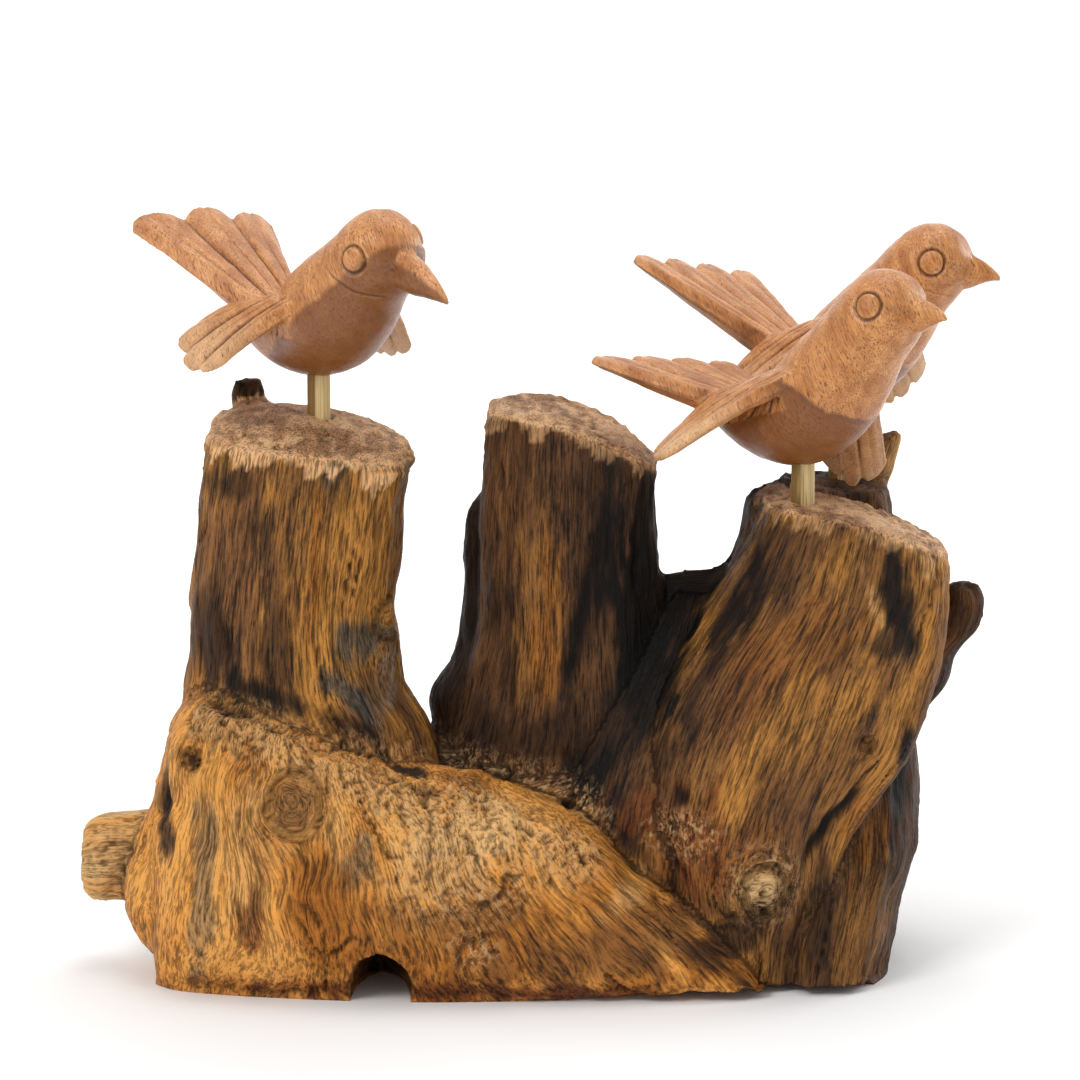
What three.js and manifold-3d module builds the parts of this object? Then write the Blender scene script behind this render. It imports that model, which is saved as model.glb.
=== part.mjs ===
// Three carved birds on bamboo pegs above a block of gnarled root wood with three sawn stumps.
// Millimetres, +Z up, +X to the right and -Y towards the front. The origin is at the middle of the underside.
import * as THREE from "three";
import { mergeVertices } from "three/addons/utils/BufferGeometryUtils.js";
import Module from "manifold-3d";

const wasm = await Module();
wasm.setup();

const GAP = 0.3; // left between pieces that touch
const PEG_RADIUS = 3.6;
const PEG_SIDES = 12;
const PEG_DEPTH = 12; // how far a peg is set into the root, and into its bird
const SQUARENESS = 2.5; // exponent of a limb's slice: 2 is an ellipse, more is squarer

const WOOD = { stump: "#8a5a2c", bird: "#d29a66", peg: "#cdb27c" };

// A limb's slices, from its foot to its end. An upright limb's are [height, left, right, front, back], and
// a lying limb's are [x, front, back, bottom, top]. slope tips its end face: rise per mm across and deep;
// bow rounds it off: fall per mm squared across and deep.
// A knot is a swelling at a height and bearing, where 0 degrees faces right and -90 faces the front.
const LIMBS = {
  leftTrunk: {
    slices: [
      [-6, -107, -28, -38, 32],
      [30, -109, -30, -40, 33],
      [62, -109, -31, -36, 31],
      [76, -108, -35, -32, 29],
      [90, -106.5, -42, -30, 27],
      [112, -104.5, -44.5, -28, 26],
      [140, -102.5, -42, -27, 25],
      [168.5, -99, -38, -26, 24],
    ],
    slope: [-0.13, 0.18],
    bow: [0.0056, 0.0072],
    lobes: [[3, 0.03, 0.4, 0.3], [7, 0.015, 1.2, -0.6]],
    knots: [
      { height: 104, bearing: -20, rise: 4, spread: 8 },
      { height: 84, bearing: -60, rise: 3, spread: 9 },
      { height: 116, bearing: 175, rise: 2, spread: 9 },
    ],
    sides: 24,
    rings: 11,
  },
  middleTrunk: {
    slices: [
      [-6, -30, 46, -15, 40],
      [40, -32, 48, -16, 40],
      [62, -29, 46, -15, 38],
      [80, -24, 43, -15, 36],
      [104, -19, 39, -14, 34],
      [125, -18.5, 37.5, -13, 32],
      [150, -17, 37, -12, 29],
      [168, -16, 37, -11, 27],
    ],
    slope: [-0.34, 0.14],
    bow: [0.009, 0],
    lobes: [[3, 0.03, 2.2, 0.5], [8, 0.02, 0.4, 1.1]],
    sides: 22,
    rings: 10,
  },
  middleFoot: {
    slices: [
      [40, -32, -6, 2, 28],
      [58, -31, -6, 3, 28],
      [72, -32, -4, 3, 27],
      [82, -33, -4, 4, 26],
      [94, -26, -4, 6, 25],
      [112, -23.5, -6, 8, 24],
      [130, -24, -8, 9, 23],
      [140, -23, -9, 10, 22],
      [144, -20, -11, 12, 20],
    ],
    slope: [0.3, 0],
    lobes: [[4, 0.05, 0, 0.8]],
    sides: 12,
    rings: 8,
  },
  saddle: {
    slices: [
      [12, -5, 24, 12, 100],
      [30, -5, 24, 8, 117],
      [44, -6, 26, 6, 120],
      [54, -6, 27, 6, 121],
      [62, -6, 27, 6, 128],
      [76, -5, 26, 6, 126],
    ],
    along: "x",
    lobes: [[5, 0.03, 0.5, 1.5]],
    sides: 16,
    rings: 6,
  },
  web: {
    slices: [
      [16, 4, 60, -34, 20],
      [44, 4, 58, -31, 20],
      [60, 8, 58, -28, 20],
      [75, 14, 60, -22.5, 20],
      [90, 21, 62, -16.5, 20],
      [104, 29, 64, -9, 20],
      [114, 37, 62, -1, 18],
    ],
    lobes: [[3, 0.03, 0.4, 1.1]],
    sides: 14,
    rings: 6,
  },
  rightTrunk: {
    slices: [
      [-6, 40, 84, -36, 24],
      [20, 34, 88, -38, 26],
      [50, 26, 98, -37, 26],
      [75, 28, 113, -34, 24],
      [95, 38, 119, -31, 22],
      [115, 53, 122.5, -29, 18],
      [141, 66, 123, -27, 14],
    ],
    slope: [-0.29, 0.05],
    bow: [0.005, 0.001],
    lobes: [[4, 0.03, 1.0, 0.7], [9, 0.018, 0, -1.2]],
    knots: [{ height: 30, bearing: -95, rise: 5, spread: 8 }],
    sides: 24,
    rings: 11,
  },
  rightHorn: {
    slices: [
      [96, 44, 76, 0, 22],
      [122, 56, 77, -8, 18],
      [138, 61, 77, -10, 14],
      [145.5, 62.5, 76, -9, 11],
    ],
    slope: [0.4, 0.2],
    lobes: [[3, 0.05, 0.7, 1]],
    sides: 12,
    rings: 5,
  },
  backTrunk: {
    slices: [
      [-6, 66, 104.5, -39, 54],
      [14, 68, 107, -37, 56],
      [28, 70, 111.5, -30, 57],
      [38, 70, 116, -20, 58],
      [60, 70, 116.5, -6, 60],
      [90, 70, 112, 8, 61],
      [120, 72, 111, 18, 61],
      [143, 74, 109, 28, 60],
    ],
    slope: [-0.06, 0.08],
    lobes: [[4, 0.035, 0.3, 0.9], [7, 0.02, 2, -1]],
    sides: 18,
    rings: 9,
  },
  backSplinter: {
    slices: [
      [110, 94, 106, 46, 59],
      [135, 100, 108, 47, 58],
      [156, 107, 113.5, 48, 57],
    ],
    slope: [0.25, 0],
    lobes: [[3, 0.05, 0, 1]],
    sides: 10,
    rings: 4,
  },
  rightKnob: {
    slices: [
      [66, 100, 114, 2, 24],
      [76, 105, 117, 4, 24],
      [83, 110, 123.5, 6, 22],
      [94, 115, 127.5, 7, 21],
      [100, 119, 133, 7, 20],
      [109, 121.5, 136, 8, 20],
      [116, 124, 133.5, 10, 18],
    ],
    lobes: [[3, 0.05, 1.3, 1.5]],
    sides: 12,
    rings: 9,
  },
  leftSpur: {
    slices: [
      [110, -95, -81, 10, 25],
      [150, -94, -82.5, 15, 27],
      [177, -93, -83.7, 18, 26],
    ],
    lobes: [[3, 0.06, 0, 1]],
    sides: 10,
    rings: 4,
  },
  frontRoot: {
    slices: [
      [-115, -30, 0, -6, 62],
      [-109, -39, 0, -6, 80],
      [-98, -45, 0, -6, 90],
      [-70, -50, 0, -6, 78],
      [-41, -52, 0, -6, 68],
      [-12, -51, 0, -6, 62],
      [5, -49, 0, -6, 55],
      [18, -49, 2, -6, 49],
      [30, -48, 2, -6, 37],
      [48, -46, 2, -6, 24],
      [64, -44, 2, -6, 8],
      [70, -43, 2, -6, 1],
    ],
    along: "x",
    lobes: [[5, 0.02, 0.8, 3]],
    sides: 18,
    rings: 17,
  },
  leftButtress: {
    slices: [
      [0, -113, -80, -24, 10],
      [12, -122, -80, -27, 13],
      [22, -126, -80, -28, 14],
      [38, -123, -80, -28, 14],
      [56, -117, -82, -26, 12],
      [74, -109, -88, -20, 8],
    ],
    lobes: [[3, 0.04, 0.5, 0.8]],
    sides: 14,
    rings: 7,
  },
  leftStub: {
    slices: [
      [-138.5, -10, 12, 22, 42],
      [-135, -12, 14, 19, 45.5],
      [-122, -12, 14, 18, 47],
      [-100, -15, 15, 14, 50],
    ],
    along: "x",
    lobes: [[5, 0.03, 0, 0.4]],
    sides: 14,
    rings: 5,
  },
  backFill: {
    slices: [
      [-84, -6, 34, -6, 60],
      [-50, -8, 38, -6, 69],
      [-15, -22, 44, -6, 68],
      [20, -22, 48, -6, 76],
      [50, -22, 50, -6, 84],
      [92, -22, 48, -6, 60],
    ],
    along: "x",
    lobes: [[5, 0.03, 0.4, 4]],
    sides: 16,
    rings: 12,
  },
};

// The hollow under the front root, and the shallow lift of its underside to the right of that.
const HOLLOW = { centre: [-47, -46, 0], size: [9, 34, 15] };
const LIFT = { centre: [64, -45, 0], size: [56, 26, 2.4] };

// Crevices and cracks of the root wood, each a groove along a curve on its surface.
const CREVICES = [
  { path: [[-104, -30, 92], [-82, -36, 85], [-61, -38, 78], [-30, -40, 63]], radius: 3.2 },
  { path: [[70, -15, 147], [66, -18, 130], [57, -24, 104]], radius: 2.8 },
  { path: [[25, -49, 44], [46, -48, 25], [66, -44, 4]], radius: 2.4 },
];
const CREVICE_MESH = { sides: 5, rings: 6 };

// A bird's spine from rump to brow in its own frame, whose origin is the peg's end at the belly:
// [forward, up, half thickness, half width].
const SPINE = [
  [-28, 14.5, 3, 8],
  [-20, 13.5, 8, 11.5],
  [-11, 13.5, 12, 13.5],
  [-2, 15.5, 14.8, 15],
  [6, 21.5, 16.2, 16],
  [14, 30.5, 15.6, 15],
  [21.5, 40.5, 13.3, 13],
  [28, 48, 12.7, 12.2],
  [31.5, 51.7, 11.7, 11.2],
  [34.6, 55, 8.9, 8.6],
  [36.3, 56.9, 5, 4.9],
  [36.9, 57.6, 0.6, 0.6],
];
const BODY = { sides: 14, rings: 13 };
const BELLY_MIDDLE = 14; // the height that a bird's stature keeps
const HEAD = [29, 47.8]; // its middle, forward and up
// The beak from inside the face to its tip, out from the head's middle: [share of its reach, up, half
// thickness, half width].
const BEAK = [
  [0.15, 0.3, 6, 5.4],
  [0.5, 0.4, 5.5, 4.6],
  [0.72, 0.6, 3.6, 3],
  [0.9, 0.3, 1.7, 1.5],
  [1, -0.5, 0.5, 0.5],
];
const BEAK_MESH = { sides: 8, rings: 4 };
// The left eye's ring, its direction and its groove's depth line from the head's middle.
const EYE = { toward: [1, 11, 3.2], out: 10.6, inner: 3.5, outer: 4.7, sides: 12 };

const TAIL_ROOT = [[-15, 8, 15], [-15, 0, 15.5], [-15, -8, 15]];
const TAIL = { thick: 9, taper: 0.72, ridge: 1.2, scallop: 0.12, along: 3 };
const WING_ROOT = [[-17, 5, 22], [-5, 8, 27], [7, 9, 31], [17, 8, 33]]; // from rump to shoulder
const WING = { feathers: 4, thick: 6.5, taper: 0.66, ridge: 1.1, scallop: 0.07, along: 3 };

// Where each bird stands: its peg's place on the stump, the height of its belly and its bearing. reach and
// stature stretch its spine forward and up, bulk thickens it, and beak is the beak's reach from the head's
// middle. Its head tilts to its right, nods and turns to its left, by degrees. The tail's tips run from
// left to right over its feathers. A wing's run from the inner, trailing one to the leading one, in the left
// wing's terms.
const BIRDS = {
  left: {
    peg: [-66.1, 2, 167],
    belly: 179,
    yaw: -50,
    reach: 1.12,
    stature: 0.74,
    bulk: 1.06,
    beak: 32,
    head: { tilt: 18, nod: 22, turn: 0 },
    tailFeathers: 3,
    tail: [[-60, 26, 43.5], [-60, 0, 47.5], [-65, -28, 45]],
    rightWing: [[-31, 13, 18.5], [-32, 28, 10.5], [-20, 33, 3], [-8, 31.5, 4]],
    leftWing: [[-24, 17, 14], [-15, 33, 5], [-9, 36, 4], [-2, 38, 6]],
  },
  front: {
    peg: [77.9, -11, 141],
    belly: 153.5,
    yaw: -40,
    reach: 1,
    stature: 1,
    bulk: 1,
    beak: 21,
    head: { tilt: 0, nod: 0, turn: 0 },
    tailFeathers: 4,
    tail: [[-45, 27, 25.5], [-54, 0, 29], [-60, -33, 31.5]],
    rightWing: [[-27, 11, 18], [-36, 24, 5], [-31, 32, 3], [-24, 37, 5]],
    leftWing: [[-22, 16, 12], [-12, 30, -4], [-5, 34, -9.5], [4, 38.5, -4]],
  },
  back: {
    peg: [93.5, 48, 145],
    belly: 163,
    yaw: -38,
    reach: 1.13,
    stature: 0.98,
    bulk: 1,
    beak: 21,
    head: { tilt: 4, nod: 8, turn: 24 },
    tailFeathers: 4,
    tail: [[-55, 33, 38], [-60, 0, 44], [-59, -35, 48.5]],
    rightWing: [[-20, 12, 20], [-27, 20, 12], [-22, 27, 8], [-14, 31, 8]],
    leftWing: [[-20, 17, 13], [-6, 34, 0], [1, 38, 3], [7, 40, 11]],
  },
};

// The value of one column of a table at a place along its first column or its row number, on a smooth curve
// (cubic Hermite, with each row's tangent taken from its neighbours).
function smooth(places, values, at) {
  const last = places.length - 1;
  let i = 0;
  while (i < last - 1 && at > places[i + 1]) i++;
  const tangent = (k) => {
    const [a, b] = [Math.max(k - 1, 0), Math.min(k + 1, last)];
    return (values[b] - values[a]) / (places[b] - places[a]);
  };
  const span = places[i + 1] - places[i];
  const t = THREE.MathUtils.clamp((at - places[i]) / span, 0, 1);
  const [t2, t3] = [t * t, t * t * t];
  return (
    (2 * t3 - 3 * t2 + 1) * values[i] +
    (t3 - 2 * t2 + t) * span * tangent(i) +
    (3 * t2 - 2 * t3) * values[i + 1] +
    (t3 - t2) * span * tangent(i + 1)
  );
}

const column = (rows, k) => rows.map((row) => row[k]);

// A closed mesh as a solid, and a solid as a mesh's geometry.
function solid(geometry) {
  const bare = geometry.clone();
  bare.deleteAttribute("normal");
  bare.deleteAttribute("uv");
  const merged = mergeVertices(bare, 1e-3);
  return new wasm.Manifold(
    new wasm.Mesh({
      numProp: 3,
      vertProperties: merged.attributes.position.array,
      triVerts: new Uint32Array(merged.index.array),
    }),
  );
}

function geometryOf(made) {
  const mesh = made.getMesh();
  const geometry = new THREE.BufferGeometry();
  geometry.setAttribute("position", new THREE.BufferAttribute(mesh.vertProperties, 3));
  geometry.setIndex(new THREE.BufferAttribute(mesh.triVerts, 1));
  return geometry;
}

const unite = (solids) => solids.reduce((all, one) => all.add(one));

// Moves every vertex of a geometry to where shape(x, y, z) says.
function reshape(geometry, shape) {
  const spots = geometry.attributes.position;
  for (let i = 0; i < spots.count; i++) {
    spots.setXYZ(i, ...shape(spots.getX(i), spots.getY(i), spots.getZ(i)));
  }
  return geometry;
}

const signedPower = (x, power) => Math.sign(x) * Math.abs(x) ** power;

// One limb: a cylinder whose slices follow the table, fluted by its lobes and swollen at its knots.
function limb({ slices, along = "z", slope = [0, 0], bow = [0, 0], lobes = [], knots = [], sides, rings }) {
  const heights = column(slices, 0);
  const [foot, end] = [heights[0], heights.at(-1)];
  return solid(
    reshape(new THREE.CylinderGeometry(1, 1, 1, sides, rings), (x, y, z) => {
      const share = y + 0.5;
      const height = foot + share * (end - foot);
      const [low, high, near, far] = [1, 2, 3, 4].map((k) => smooth(heights, column(slices, k), height));
      const reach = Math.hypot(x, z);
      const bearing = Math.atan2(-z, x);
      const flutes = lobes.reduce(
        (sum, [count, depth, phase, twist]) => sum + depth * Math.cos(count * bearing + phase + twist * share * 3),
        1,
      );
      const [halfWide, halfDeep] = [(high - low) / 2, (far - near) / 2];
      const swelling = knots.reduce((sum, knot) => {
        const apart = THREE.MathUtils.degToRad(knot.bearing) - bearing;
        const arc = Math.atan2(Math.sin(apart), Math.cos(apart)) * Math.max(halfWide, halfDeep);
        return sum + knot.rise * Math.exp(-(((height - knot.height) ** 2 + arc ** 2) / knot.spread ** 2));
      }, 0);
      const power = 2 / SQUARENESS;
      const across = reach * (signedPower(Math.cos(bearing), power) * halfWide * flutes + Math.cos(bearing) * swelling);
      const deep = reach * (signedPower(Math.sin(bearing), power) * halfDeep * flutes + Math.sin(bearing) * swelling);
      const tip = slope[0] * across + slope[1] * deep - bow[0] * across ** 2 - bow[1] * deep ** 2;
      const tipped = height + share ** 3 * tip;
      const placed = [(low + high) / 2 + across, (near + far) / 2 + deep, tipped];
      return along === "z" ? placed : [placed[2], placed[0], placed[1]];
    }),
  );
}

const ellipsoid = ({ centre, size }) =>
  solid(reshape(new THREE.SphereGeometry(1, 14, 8), (x, y, z) => [x, y, z].map((v, k) => centre[k] + v * size[k])));

const box = (low, high) =>
  solid(
    new THREE.BoxGeometry(...high.map((v, k) => v - low[k])).translate(...high.map((v, k) => (v + low[k]) / 2)),
  );

// The body that cuts a crevice: round, and narrowing to nothing at both ends of its curve.
function crevice({ path, radius }) {
  const curve = new THREE.CatmullRomCurve3(path.map((p) => new THREE.Vector3(...p)));
  const { sides, rings } = CREVICE_MESH;
  return solid(
    reshape(new THREE.CylinderGeometry(1, 1, 1, sides, rings), (x, y, z) => {
      const share = y + 0.5;
      const along = curve.getTangent(share);
      const up = new THREE.Vector3(0, -1, 0).cross(along).normalize();
      const out = along.clone().cross(up);
      const girth = radius * (0.25 + 0.75 * Math.sin(Math.PI * share));
      return curve.getPoint(share).addScaledVector(up, z * girth).addScaledVector(out, x * girth).toArray();
    }),
  );
}

function rootStump() {
  const whole = unite(Object.values(LIMBS).map(limb));
  const below = box([-200, -200, -50], [200, 200, 0]);
  const cuts = [below, ellipsoid(HOLLOW), ellipsoid(LIFT), ...CREVICES.map(crevice)];
  return cuts.reduce((left, cut) => left.subtract(cut), whole);
}

// A round form carried along a line in the bird's upright middle plane.
function alongLine(line, { sides, rings }) {
  const rows = line.map((_, i) => i);
  const value = (k, t) => smooth(rows, column(line, k), t);
  return reshape(new THREE.CylinderGeometry(1, 1, 1, sides, rings), (x, y, z) => {
    const t = (y + 0.5) * (line.length - 1);
    const lean = Math.atan2(value(1, t + 0.01) - value(1, t - 0.01), value(0, t + 0.01) - value(0, t - 0.01));
    const [thick, wide] = [value(2, t), value(3, t)];
    return [
      value(0, t) - Math.sin(lean) * thick * x,
      wide * z,
      value(1, t) + Math.cos(lean) * thick * x,
    ];
  });
}

// A plate of feathers between a root edge and a tip edge, each a curve through its places. Every feather is a
// low swelling between grooves on the carved face, and ends in a round tip.
function featherPlate({ root, tips, feathers, thick, taper, ridge, scallop, along, face, camber = 0 }) {
  const through = (places) => new THREE.CatmullRomCurve3(places.map((p) => new THREE.Vector3(...p)));
  const [rootEdge, tipEdge] = [through(root), through(tips)];
  const across = tipEdge.getPoint(1).sub(tipEdge.getPoint(0));
  const out = tipEdge.getPoint(0.5).sub(rootEdge.getPoint(0.5));
  const normal = across.cross(out).normalize();
  return reshape(new THREE.BoxGeometry(1, 1, 1, feathers * 3, along, 1), (x, y, z) => {
    const [c, s] = [x + 0.5, y + 0.5];
    const offCentre = Math.abs(2 * ((c * feathers) % 1) - 1);
    const spot = rootEdge.getPoint(c).lerp(tipEdge.getPoint(c), s * (1 - scallop * offCentre ** 2));
    const half = (thick / 2) * (1 - taper * s);
    const carved = Math.sign(z) === face ? ridge * Math.min(1, s * 2) * offCentre ** 4 : 0;
    const bow = camber * Math.sin(Math.PI * s);
    return spot.addScaledVector(normal, Math.sign(z) * (half - carved) + bow).toArray();
  });
}

// A wing, from the side of the back to its tips. side is -1 on the bird's right.
function wing(root, tips, side) {
  const mirrored = (places) => places.map(([x, y, z]) => [x, side * y, z]);
  return featherPlate({ ...WING, root: mirrored(root), tips: mirrored(tips), face: side, camber: side * 2 });
}

// The tube that cuts the groove round an eye. side is -1 on the bird's right.
function eyeRing(side) {
  const [x, y, z] = EYE.toward;
  const outwards = new THREE.Vector3(x, side * y, z).normalize();
  const facing = new THREE.Quaternion().setFromUnitVectors(new THREE.Vector3(0, 1, 0), outwards);
  const profile = [[EYE.inner, 0], [EYE.outer, 0], [EYE.outer, 6], [EYE.inner, 6], [EYE.inner, 0]];
  const tube = new THREE.LatheGeometry(profile.map((p) => new THREE.Vector2(...p)), EYE.sides);
  return tube.applyQuaternion(facing).translate(...outwards.multiplyScalar(EYE.out).toArray());
}

function birdSolid({ peg, belly, yaw, reach, stature, bulk, beak, head, tailFeathers, tail, rightWing, leftWing }) {
  const lifted = (z) => BELLY_MIDDLE + (z - BELLY_MIDDLE) * (z > BELLY_MIDDLE ? stature : 1);
  const spine = SPINE.map(([x, z, thick, wide]) => {
    const bulky = x > 0 ? bulk : 1;
    return [x > 0 ? x * reach : x, lifted(z), thick * bulky, wide * bulky];
  });
  const [tilt, nod, turn] = [head.tilt, head.nod, head.turn].map(THREE.MathUtils.degToRad);
  const headPose = new THREE.Matrix4()
    .makeRotationFromEuler(new THREE.Euler(tilt, nod, turn, "ZYX"))
    .setPosition(HEAD[0] * reach, 0, lifted(HEAD[1]));
  const shoulder = WING_ROOT.map(([x, y, z]) => [x > 0 ? x * reach : x, y, lifted(z)]);
  const beakLine = BEAK.map(([share, z, thick, wide]) => [share * beak, z, thick, wide]);
  const whole = unite([
    solid(alongLine(spine, BODY)),
    solid(alongLine(beakLine, BEAK_MESH).applyMatrix4(headPose)),
    solid(featherPlate({ ...TAIL, root: TAIL_ROOT, tips: tail, feathers: tailFeathers, face: -1 })),
    solid(wing(shoulder, rightWing, -1)),
    solid(wing(shoulder, leftWing, 1)),
  ]);
  const rings = unite([-1, 1].map((side) => solid(eyeRing(side).applyMatrix4(headPose))));
  return whole.subtract(rings).rotate([0, 0, yaw]).translate([peg[0], peg[1], belly]);
}

// A bamboo peg, from inside the root to inside the bird.
function pegGeometry({ peg, belly }, radius, spare) {
  const [low, high] = [peg[2] - PEG_DEPTH - spare, belly + PEG_DEPTH + spare];
  const stick = new THREE.CylinderGeometry(radius, radius, high - low, PEG_SIDES);
  return stick.rotateX(Math.PI / 2).translate(peg[0], peg[1], (low + high) / 2);
}

const sculpture = new THREE.Group();

function addPiece(name, geometry, colour) {
  const material = new THREE.MeshStandardMaterial({ color: colour, roughness: 0.6, metalness: 0 });
  const mesh = new THREE.Mesh(geometry, material);
  mesh.name = name;
  sculpture.add(mesh);
}

const holes = unite(Object.values(BIRDS).map((bird) => solid(pegGeometry(bird, PEG_RADIUS + GAP, GAP))));
addPiece("root_stump", geometryOf(rootStump().subtract(holes)), WOOD.stump);
for (const [name, bird] of Object.entries(BIRDS)) {
  addPiece(`${name}_bird`, geometryOf(birdSolid(bird).subtract(holes)), WOOD.bird);
  addPiece(`${name}_peg`, pegGeometry(bird, PEG_RADIUS, 0), WOOD.peg);
}

// The whole is set over the middle of its own footprint.
const middle = new THREE.Box3().setFromObject(sculpture).getCenter(new THREE.Vector3());
for (const mesh of sculpture.children) {
  mesh.position.set(-middle.x, -middle.y, 0);
}

export default sculpture;
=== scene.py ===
"""Three carved birds on bamboo pegs above a block of gnarled root wood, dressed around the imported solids.

The tables hold the sculpture's own sizes in millimetres, +Z up and -Y to the front, with the pegs where the
solids have them. The root block and the birds are each worked out as closed surfaces from those tables,
joined into one skin, and carved further: every vertex moves along its normal by a sum of named reliefs.
"""

import itertools
import math

import bpy
import numpy as np
from mathutils import Matrix, Vector


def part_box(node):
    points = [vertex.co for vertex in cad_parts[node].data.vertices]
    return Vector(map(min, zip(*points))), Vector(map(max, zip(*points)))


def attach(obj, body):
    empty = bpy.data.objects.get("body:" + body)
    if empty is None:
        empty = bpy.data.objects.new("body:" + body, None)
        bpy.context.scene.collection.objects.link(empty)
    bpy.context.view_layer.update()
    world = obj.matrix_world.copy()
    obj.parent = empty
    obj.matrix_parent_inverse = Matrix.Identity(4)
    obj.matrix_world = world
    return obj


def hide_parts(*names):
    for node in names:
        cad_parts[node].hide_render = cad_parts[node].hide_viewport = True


MM = 0.001
ROOT_GRAIN = 1.25  # distance between the root skin's vertices
BIRD_GRAIN = 0.5  # and between a bird's
SQUARENESS = 2.5  # exponent of a limb's slice: 2 is an ellipse, more is squarer
PEG_RADIUS = 3.6
PEG_DEPTH = 12  # how far a peg runs into the wood at each end

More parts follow.
